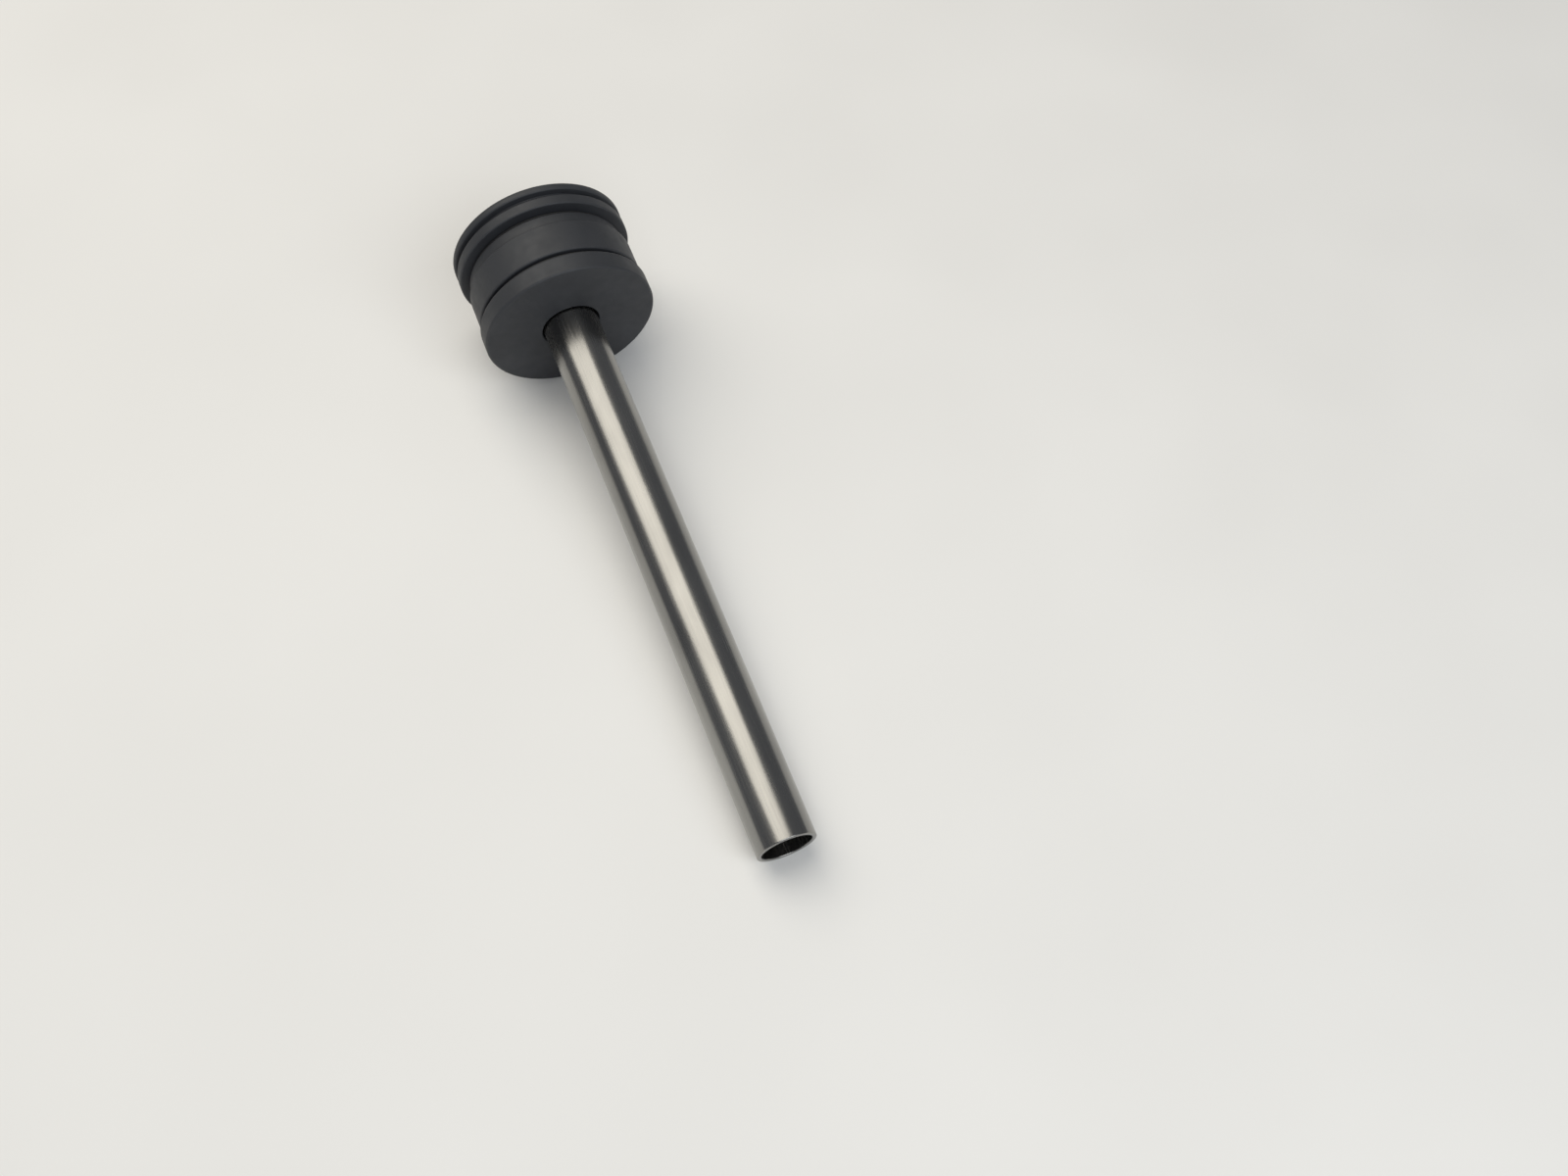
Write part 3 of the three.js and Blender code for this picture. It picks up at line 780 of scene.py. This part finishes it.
def rear_cap():
    skirt = DRUM_BORE - GAP
    slope = 0.15  # of the groove's sides
    outline = [
        (0, CAP_INSIDE),
        (skirt - SKIRT_WALL, CAP_INSIDE, 0.3),
        (skirt - SKIRT_WALL, cap.start, 0.12),
        (skirt, cap.start, 0.3),
        (skirt, CAP_START, 0.15),
        (cap.radius, CAP_START, 0.35),
        (cap.radius, RIB_END, 0.4),
        (CAP_GROOVE, RIB_END + slope, 0.25),
        (CAP_GROOVE, RIM_START - slope, 0.25),
        (cap.radius, RIM_START, 0.4),
        (cap.radius, cap.end, 0.6),
        (0, cap.end),
    ]
    shell = turned(outline, HEAD_SIDES)
    bosses, tools = [], []
    for size in cap_screws:
        bosses.append(rod(CAP_BOSS, CAP_BOSS_START, CAP_INSIDE + 0.5, size.x, 0, 0.2))
        tools.append(rod(CAP_SCREW_SHANK + GAP, CAP_BOSS_START - 1, cap.end + 1, size.x))
        tools.append(hole(CAP_SCREW_HEAD + GAP, cap.end - CAP_SCREW_SINK, cap.end, size.x))
    notch_half = BOSS_WEB_HALF + 2 * GAP
    tools.append(
        box((-skirt - 1, cap.start - 1, -notch_half), (skirt + 1, drum.end + GAP, notch_half))
    )
    tools.append(rod(INLET_BODY + GAP, CAP_BOSS_START - 1, cap.end + 1, 0, inlet.z))
    half, low_z, high_z, sink = 6.5, -12.2, -4.2, 0.25  # the shallow panel below the screws
    tools.append(box((-half, cap.end - sink, low_z), (half, cap.end + 1, high_z), 0.2))
    return cut(fused(shell, *bosses), *tools)


def cable_grommet():
    inner, outer = CAP_INSIDE - GAP, cap.end + GAP
    outline = [
        (inlet.bore, inlet.start, 0.3),
        (INLET_INNER_LIP, inlet.start, 0.35),
        (INLET_INNER_LIP, inner, 0.15),
        (INLET_BODY, inner),
        (INLET_BODY, outer),
        (inlet.radius, outer, 0.15),
        (inlet.radius, inlet.end, 0.45),
        (inlet.bore, inlet.end, 0.35),
    ]
    return turned(outline, MIDDLE_SIDES, 0, inlet.z)


make_fine("rear_cap", rear_cap(), "cap", BLACK)
make_fine("cable_grommet", cable_grommet(), "cap", RUBBER)
make_ring("cap_seal", "cap", RUBBER, 0.12)
for i, size in enumerate(cap_screws, 1):
    node = f"cap_screw_{i}"
    make_screw(node, size, node, ZINC, CAP_SCREW_THICK, CAP_SCREW_SHANK, 0.45)

# ---- Sensor insert: carrier and board ----


def boss_notches(start, end):
    """Room for the drum's two screw bosses."""
    half = SCREW_BOSS + GAP
    tools = []
    for size in cap_screws:
        inner = size.x - math.copysign(half, size.x)
        outer = math.copysign(carrier.radius + 1, size.x)
        low_x, high_x = sorted((inner, outer))
        tools.append(box((low_x, start - 1, -half), (high_x, end + 1, half), 0.5))
    return tools


def screw_holes(start, end):
    radius = BOARD_SCREW_SHANK + GAP
    return [rod(radius, start - 1, end + 1, size.x, size.z) for size in board_screws]


def insert_carrier():
    """A moulded disc with a shallow recess round its middle on each side."""
    inner = SLEEVE_RADIUS + GAP
    recess, slope = 0.25, 0.2
    front_inner, front_outer = 5.6, 11.8
    rear_inner, rear_outer = 5.2, 12.9
    outline = [
        (inner, carrier.start, 0.12),
        (front_inner, carrier.start, 0.12),
        (front_inner + slope, carrier.start + recess, 0.1),
        (front_outer - slope, carrier.start + recess, 0.1),
        (front_outer, carrier.start, 0.12),
        (carrier.radius, carrier.start, 0.25),
        (carrier.radius, carrier.end, 0.25),
        (rear_outer, carrier.end, 0.1),
        (rear_outer - slope, carrier.end - recess, 0.08),
        (rear_inner + slope, carrier.end - recess, 0.08),
        (rear_inner, carrier.end, 0.1),
        (inner, carrier.end, 0.12),
    ]
    ring = turned(outline, HEAD_SIDES)
    screw_pads = [
        rod(2.0, carrier.start + recess, carrier.end, size.x, size.z, 0.1) for size in board_screws
    ]
    tools = boss_notches(carrier.start, carrier.end) + screw_holes(carrier.start, carrier.end)
    return cut(fused(ring, *screw_pads), *tools)


def circuit_board():
    ring = washer(board.bore, board.radius, board.start, board.end, 0.06, HEAD_SIDES)
    return cut(ring, *boss_notches(board.start, board.end), *screw_holes(board.start, board.end))


# Places on the board's rear face, as (x, z).
LEAD_Z = 2.6
LEAD_END = [(leads[0].low.x + LEAD_RADIUS, LEAD_Z), (leads[1].high.x - LEAD_RADIUS, LEAD_Z)]
RESISTOR_Z, RESISTOR_LEG = 10.4, 4.0
TERMINAL_X, TERMINAL_Z = terminal_screws[1].x, terminal_screws[1].z
TEST_PADS = [(-8.6, 7.2), (-6.6, 4.0), (-9.6, 4.6), (6.2, 9.6), (0.0, 6.4), (-1.6, 8.2)]

FACE = board.end - 0.02  # where what lies on the rear face starts
TRACK_END, TRACK_WIDTH = board.end + 0.04, 0.55
PAD_END, PAD_RADIUS, PAD_BORE = board.end + 0.05, 0.62, 0.28


def board_tracks():
    """Copper tracks under the green lacquer on the board's rear face."""
    across = 5.4  # from the middle to the tracks beside the board's hole
    upper = 5.2  # and to those that go on to the resistor
    tracks = []
    for side, (lead_x, lead_z) in zip(BOTH, LEAD_END):
        from_terminal = [
            (side * TERMINAL_X, TERMINAL_Z + 2),
            (side * (TERMINAL_X + 1), -3.0),
            (side * across, -1.0),
            (side * across, lead_z - 1.2),
            (lead_x, lead_z),
        ]
        to_resistor = [
            (lead_x, lead_z),
            (side * upper, 4.2),
            (side * upper, 8.6),
            (side * RESISTOR_LEG, RESISTOR_Z),
        ]
        tracks += [from_terminal, to_resistor]
    tracks.append([(upper, 6.0), (6.2, 6.4), (7.8, 8.0), (6.2, 9.6)])
    tracks.append([(-upper, 6.2), (-7.8, 7.4), (-9.6, 4.6), (-6.6, 4.0)])
    return gathered(*[strip(points, TRACK_WIDTH, FACE, TRACK_END) for points in tracks])


def solder_joint(x, z):
    """A fillet of solder round a wire, hollowed towards its top."""
    reach, top, height = 0.95, 0.32, 0.5
    steps = 5
    outline = [(0, FACE), (reach, FACE)]
    for i in range(1, steps + 1):
        share = i / steps
        radius = reach - (reach - top) * share**0.6
        outline.append((radius, FACE + 0.05 + height * share**1.6))
    outline.append((0, FACE + height + 0.1))
    return turned(outline, TINY_SIDES, x, z)


def solder():
    points = list(LEAD_END)
    points += [(side * RESISTOR_LEG, RESISTOR_Z) for side in BOTH]
    return gathered(*[solder_joint(x, z) for x, z in points])


def pads():
    """Bare round pads that aren't used, and the test points."""
    size = (PAD_BORE, PAD_RADIUS, FACE, PAD_END, 0.02, TINY_SIDES)
    return gathered(*[washer(*size, x, z) for x, z in TEST_PADS])


make_fine("insert_carrier", insert_carrier(), "insert", GREY)
make_fine("circuit_board", circuit_board(), "insert", LAMINATE)
make("board_tracks", board_tracks(), "insert", TRACK)
make("board_pads", pads(), "insert", TIN)
make("board_solder", solder(), "insert", SOLDER)
for i, size in enumerate(board_screws, 1):
    node = f"board_screw_{i}"
    make_screw(node, size, "insert", ZINC, BOARD_SCREW_THICK, BOARD_SCREW_SHANK, 0.3)

# ---- Sensor insert: terminals and components ----


def terminal_block():
    """Two poles side by side, each with a screw hole above and a wire funnel in front."""
    block = Size("terminal_block")
    body = box(block.low, block.high, 0.3)
    tools = []
    for size in terminal_screws:
        tools.append(hole(TERMINAL_HOLE, CHAMBER_TOP - 0.5, block.end, size.x, size.z, 0.25))
        low = (size.x - CHAMBER_HALF, BOARD_TOP + 0.5, block.low.z + 1.2)
        high = (size.x + CHAMBER_HALF, CHAMBER_TOP, block.high.z + 1)
        tools.append(box(low, high, 0.12, 2))
        funnel = 0.28
        low = (low[0] - funnel, low[1] - funnel, block.high.z - 0.45)
        high = (high[0] + funnel, high[1] + funnel, block.high.z + 1)
        tools.append(box(low, high, 0.2, 2))
    between, sink = 0.22, 1.2  # half the groove between the poles, and its depth
    low = (-between, block.end - sink, block.low.z - 1)
    tools.append(box(low, (between, block.end + 1, block.high.z + 1)))
    for side in BOTH:
        key_start, key_half, key_depth = 13.2, 0.8, 0.35  # of the groove down each outer side
        edge = side * block.high.x
        low_x, high_x = sorted((edge - side * key_depth, edge + side))
        low = (low_x, key_start, TERMINAL_Z - key_half)
        tools.append(box(low, (high_x, block.end + 1, TERMINAL_Z + key_half), 0.1))
    return cut(body, *tools)


def terminal_clamp(node, screw_size):
    clamp = Size(node)
    body = box(clamp.low, clamp.high, 0.18)
    return cut(body, hole(0.9, clamp.start - 1, clamp.end, screw_size.x, screw_size.z, 0.12))


make_fine("terminal_block", terminal_block(), "insert", GREEN)
for i, size in enumerate(terminal_screws, 1):
    node = f"terminal_clamp_{i}"
    make_fine(node, terminal_clamp(node, size), "insert", NICKEL)
    node = f"terminal_screw_{i}"
    make_screw(node, size, node, NICKEL, TERMINAL_SCREW_THICK, TERMINAL_SCREW_SHANK, 0.35)


def lying_down(data, y, z):
    """A piece turned about y, laid along x at a height y above the probe's front."""
    data.transform(Matrix.Translation((0, y, z)) @ Matrix.Rotation(math.pi / 2, 4, "Z"))
    return data


RESISTOR_HALF, RESISTOR_HEIGHT, LEG_RADIUS = 2.8, BOARD_TOP + 1.4, 0.25


def resistor_body():
    radius, waist = 1.0, 0.86
    half = RESISTOR_HALF
    outline = [(0, -half), (radius, -half, 0.35), (radius, -half + 1.15, 0.12)]
    outline += [(waist, -half + 1.35, 0.12), (waist, half - 1.35, 0.12)]
    outline += [(radius, half - 1.15, 0.12), (radius, half, 0.35), (0, half)]
    return lying_down(turned(outline), RESISTOR_HEIGHT, RESISTOR_Z)


def resistor_legs():
    legs = []
    for side in BOTH:
        points = [
            (side * (RESISTOR_HALF - 0.3), RESISTOR_HEIGHT, RESISTOR_Z),
            (side * (RESISTOR_HALF + 0.3), RESISTOR_HEIGHT, RESISTOR_Z),
            (side * (RESISTOR_HALF + 0.95), RESISTOR_HEIGHT - 0.2, RESISTOR_Z),
            (side * RESISTOR_LEG, RESISTOR_HEIGHT - 0.85, RESISTOR_Z),
            (side * RESISTOR_LEG, board.end, RESISTOR_Z),
        ]
        legs.append(swept(smooth_path(points, 8), LEG_RADIUS))
    return gathered(*legs)


def capacitor_sleeve(size, lid):
    """The film round the can, shrunk over the bead at the foot and over the shoulder."""
    bead, half, depth = size.start + 0.9, 0.3, 0.2
    fold_end = size.end - 0.12  # of the film's edge on the shoulder
    outline = [
        (0, size.start),
        (size.radius, size.start, 0.25),
        (size.radius, bead - half, 0.12),
        (size.radius - depth, bead, 0.12),
        (size.radius, bead + half, 0.12),
        (size.radius, size.end, 0.35),
        (lid, size.end, 0.03),
        (lid, fold_end),
        (0, fold_end),
    ]
    return turned(outline, SMALL_SIDES, size.x, size.z)


def capacitor_lid(size, lid):
    """The can's bare top, with a cross pressed into it."""
    top = size.end - 0.03
    disc = rod(lid - 0.02, size.end - 0.1, top, size.x, size.z, 0.03)
    long, short = lid * 0.75, 0.07
    cross = [
        box((size.x - x, top - 0.05, size.z - z), (size.x + x, top + 1, size.z + z))
        for x, z in ((long, short), (short, long))
    ]
    return cut(disc, *cross)


can = Size("capacitor")
LID = can.radius - 0.45
FILM = capacitor_film(can.x + can.radius * 0.6)
LACQUER = resistor_lacquer(RESISTOR_HALF)
make("resistor_body", resistor_body(), "insert", LACQUER, ["resistor"])
make("resistor_legs", resistor_legs(), "insert", TIN, ["resistor"])
sleeve = capacitor_sleeve(can, LID)
make("capacitor_sleeve", sleeve, "insert", FILM, ["capacitor"])
make("capacitor_lid", capacitor_lid(can, LID), "insert", ALUMINIUM, ["capacitor"])

# ---- Sensor insert: sleeve, leads and socket ----


def lead_sleeve():
    sleeve = Size("lead_sleeve")
    collar_end = carrier.start - GAP
    outline = [
        (sleeve.bore, sleeve.start, 0.12),
        (SLEEVE_RADIUS, sleeve.start, 0.2),
        (SLEEVE_RADIUS, collar_end - SLEEVE_COLLAR, 0.1),
        (sleeve.radius, collar_end - SLEEVE_COLLAR, 0.15),
        (sleeve.radius, collar_end, 0.15),
        (SLEEVE_RADIUS, collar_end, 0.1),
        (SLEEVE_RADIUS, sleeve.end, 0.15),
        (sleeve.bore, sleeve.end, 0.12),
    ]
    return turned(outline, MIDDLE_SIDES)


def centring_ring(size):
    """A ring with a groove round its middle and grooves along it, so that it gives a little."""
    middle = (size.start + size.end) / 2
    half, edge, depth = 0.25, 0.4, 0.18  # of the groove round its middle
    outline = [
        (size.bore, size.start, 0.08),
        (size.radius, size.start, 0.2),
        (size.radius, middle - edge, 0.08),
        (size.radius - depth, middle - half, 0.06),
        (size.radius - depth, middle + half, 0.06),
        (size.radius, middle + edge, 0.08),
        (size.radius, size.end, 0.2),
        (size.bore, size.end, 0.08),
    ]
    ring = turned(outline, MIDDLE_SIDES)
    count, groove = 6, 0.22
    grooves = []
    for i in range(count):
        turn = 2 * math.pi * (i + 0.5) / count
        x, z = size.radius * math.sin(turn), size.radius * math.cos(turn)
        grooves.append(rod(groove, size.start - 1, size.end + 1, x, z, sides=24))
    return cut(ring, *grooves)


def phototube_socket():
    """A ceramic body with a stepped hole for each contact and its lead."""
    socket = Size("phototube_socket")
    body_end, neck = -70.8, 2.85
    waist, half, depth = -75.75, 0.25, 0.2  # of the groove round it
    edge = half + depth
    contact_end = Size("socket_contact_1").end
    outline = [
        (0, socket.start),
        (socket.radius, socket.start, 0.3),
        (socket.radius, waist - edge, 0.1),
        (socket.radius - depth, waist - half, 0.08),
        (socket.radius - depth, waist + half, 0.08),
        (socket.radius, waist + edge, 0.1),
        (socket.radius, body_end, 0.3),
        (neck, body_end, 0.15),
        (neck, socket.end, 0.3),
        (0, socket.end),
    ]
    body = turned(outline, MIDDLE_SIDES)
    tools = []
    for lead_x in (-PIN_X, PIN_X):
        wide, narrow = CONTACT_RADIUS + GAP, LEAD_RADIUS + GAP
        tools.append(rod(wide, socket.start - 1, contact_end + GAP, lead_x, sides=PIN_SIDES))
        tools.append(rod(narrow, contact_end, socket.end + 1, lead_x, sides=PIN_SIDES))
    return cut(body, *tools)


def socket_contact(size):
    """A turned contact, split crosswise at its mouth so that it grips the pin."""
    outline = [
        (CONTACT_BORE, size.start, 0.1),
        (CONTACT_RADIUS - 0.12, size.start, 0.08),
        (CONTACT_RADIUS, size.start + 0.8, 0.1),
        (CONTACT_RADIUS, size.end, 0.12),
        (CONTACT_BORE, size.end, 0.1),
    ]
    body = turned(outline, PIN_SIDES, size.x, size.z)
    slit_end, half, reach = size.start + 2.2, 0.09, 2
    slits = [
        box((size.x - x, size.start - 1, size.z - z), (size.x + x, slit_end, size.z + z))
        for x, z in ((half, reach), (reach, half))
    ]
    return cut(body, *slits)


def lead_path(size, side):
    """Straight up the sleeve and through the board, then over to the solder joint."""
    x = side * PIN_X
    start, pitch = size.start, 9.0
    straight = [(x, start + i * pitch, 0) for i in range(int((board.start - start) / pitch))]
    bend = [
        (x, board.start, 0),
        (x, BOARD_TOP + 0.6, 0),
        (x + side * 0.6, BOARD_TOP + 1.7, 0.7),
        (x + side * 1.7, BOARD_TOP + 1.8, 1.8),
        (x + side * 2.3, BOARD_TOP + 1.1, 2.5),
        (x + side * 2.4, BOARD_TOP, LEAD_Z),
    ]
    return smooth_path(straight + bend, 6)


PIN_X = Size("socket_contact_2").x
STRIPPED, BARE_RADIUS = 6, 0.36  # path steps of bare wire at the lead's end, and its radius

for i in (1, 2):
    node = f"centring_ring_{i}"
    make_fine(node, centring_ring(Size(node)), "insert", WHITE)
    node = f"socket_contact_{i}"
    make_fine(node, socket_contact(Size(node)), "insert", BRASS)

make_fine("lead_sleeve", lead_sleeve(), "insert", WHITE)
make_fine("phototube_socket", phototube_socket(), "insert", CERAMIC)

for node, side, slot, material in (
    ("lead_1", -1, "red_insulation", RED),
    ("lead_2", 1, "blue_insulation", BLUE),
):
    path = lead_path(Size(node), side)
    covered, bare = path[: -STRIPPED + 1], path[-STRIPPED - 1 :]
    make_fine(node, swept(covered, LEAD_RADIUS), "insert", material)
    make(f"{node}_strands", swept(bare, BARE_RADIUS), "insert", TIN, [node])

# ---- Phototube ----


def phototube_bulb():
    """A glass bulb with a rounded nose that ends in a small sealed pip."""
    bulb = Size("phototube_bulb")
    steps = 14
    pip = 0.5  # how far the pip stands out of the nose

    def dome(radius, length, front):
        turns = [math.pi / 2 * i / steps for i in range(steps + 1)]
        return [(radius * math.sin(a), front + length * (1 - math.cos(a))) for a in turns]

    inner, length, front = bulb.radius - BULB_WALL, BULB_NOSE - pip, bulb.start + pip
    outside = dome(bulb.radius, length, front)
    inside = dome(inner, length - BULB_WALL, front + BULB_WALL)
    nose = [(0, bulb.start), (0.3, bulb.start + 0.1), (0.42, bulb.start + 0.4)]
    outline = [
        *nose,
        *outside[3:],
        (bulb.radius, bulb.end, 0.15),
        (inner, bulb.end, 0.15),
        *inside[::-1],
    ]
    return turned(outline, MIDDLE_SIDES)


def phototube_base():
    base = Size("phototube_base")
    plug, rim_start = 3.0, -81.1
    outline = [
        (0, base.start),
        (plug, base.start, 0.2),
        (plug, rim_start, 0.1),
        (base.radius, rim_start, 0.12),
        (base.radius, base.end, 0.25),
        (0, base.end),
    ]
    body = turned(outline, MIDDLE_SIDES)
    holes = [
        rod(PIN_RADIUS + GAP, base.start - 1, base.end + 1, x, sides=TINY_SIDES)
        for x in (-PIN_X, PIN_X)
    ]
    return cut(body, *holes)


def pin(size, start):
    """A wire pin, pointed where it plugs in."""
    outline = [(0, start), (PIN_RADIUS, start), (PIN_RADIUS, size.end - 0.6, 0.2)]
    outline += [(PIN_RADIUS * 0.5, size.end, 0.1), (0, size.end)]
    return outline


def cathode():
    """A square plate on the end of its pin."""
    size = Size("cathode")
    plate_end, plate_half = -88, 0.2
    plate = box(size.low, (size.x + plate_half, plate_end, size.high.z), 0.12)
    return fused(turned(pin(size, plate_end - 1), TINY_SIDES, size.x), plate)


def anode():
    """A wire loop on the end of its pin."""
    size = Size("anode")
    wire, pin_start = 0.25, -89.2
    middle = size.start + size.high.z
    ring = loop(size.high.z - wire, wire, size.x, middle, 0)
    return fused(turned(pin(size, pin_start), TINY_SIDES, size.x), ring)


make_fine("phototube_bulb", phototube_bulb(), "phototube", QUARTZ)
make_fine("phototube_base", phototube_base(), "phototube", CERAMIC)
make_fine("cathode", cathode(), "phototube", NICKEL)
make_fine("anode", anode(), "phototube", NICKEL)

# ---- Floor, light and camera ----

FLOOR_SPAN = 4.0
VIEW_HEADING = math.radians(21.45)  # how far the view turns from the probe's own heading
VIEW_DROP = math.radians(59.5)
VIEW_ROLL = math.radians(-0.7)
LENS = 37.0
BEFORE_TIP, ABOVE_TIP = 0.1007, 0.2577  # the camera's place from the tube's tip, in metres


def floor():
    low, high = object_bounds()
    bpy.ops.mesh.primitive_plane_add(size=FLOOR_SPAN, location=(0, 0, low.z))
    plane = bpy.context.object
    plane.name = "floor"
    surface = Surface("floor", IOR=1.4)
    pale = [(0.3, (0.80, 0.79, 0.77)), (0.7, (0.83, 0.82, 0.80))]
    surface.color(surface.ramp(surface.noise(60.0, detail=2), pale))
    surface.roughness(surface.spread(surface.noise(30.0), 0.55, 0.65))
    plane.data.materials.append(surface.material)
    plane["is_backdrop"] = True


def softbox(name, place, width, depth, power, color):
    """A rectangular light facing the middle of the probe."""
    lamp = bpy.data.lights.new(name, "AREA")
    lamp.shape = "RECTANGLE"
    lamp.size, lamp.size_y = width, depth
    lamp.energy = power
    lamp.color = color
    light = bpy.data.objects.new(name, lamp)
    bpy.context.scene.collection.objects.link(light)
    light.location = place
    light.rotation_euler = (-Vector(place)).to_track_quat("-Z", "Y").to_euler()


def world():
    sky = bpy.data.worlds.new("studio")
    bpy.context.scene.world = sky
    sky.use_nodes = True
    background = sky.node_tree.nodes["Background"]
    background.inputs["Color"].default_value = (0.165, 0.172, 0.185, 1)
    background.inputs["Strength"].default_value = 1.0


def camera():
    """The camera looks down at the probe from over its tip."""
    tip = PROBE @ Vector((0, tube.start, 0))
    ahead = Vector((math.sin(VIEW_HEADING), math.cos(VIEW_HEADING), 0))
    lens = bpy.data.cameras.new("camera")
    lens.sensor_width = 36.0
    lens.lens = LENS
    lens.clip_start, lens.clip_end = 0.005, 20.0
    eye = bpy.data.objects.new("camera", lens)
    bpy.context.scene.collection.objects.link(eye)
    turn = Matrix.Rotation(-VIEW_HEADING, 4, "Z")
    turn @= Matrix.Rotation(math.pi / 2 - VIEW_DROP, 4, "X")
    turn @= Matrix.Rotation(VIEW_ROLL, 4, "Z")
    place = tip - ahead * BEFORE_TIP + Vector((0, 0, ABOVE_TIP))
    eye.matrix_world = Matrix.Translation(place) @ turn
    bpy.context.scene.camera = eye


floor()
world()
softbox(
    "key", (-0.15, 0.32, 0.70), width=0.75, depth=0.9, power=4.7, color=(1.0, 0.955, 0.86)
)
softbox(
    "fill", (0.10, -0.60, 0.60), width=0.8, depth=0.5, power=3.9, color=(0.93, 0.97, 1.0)
)
camera()

bpy.context.scene.view_settings.view_transform = "Standard"
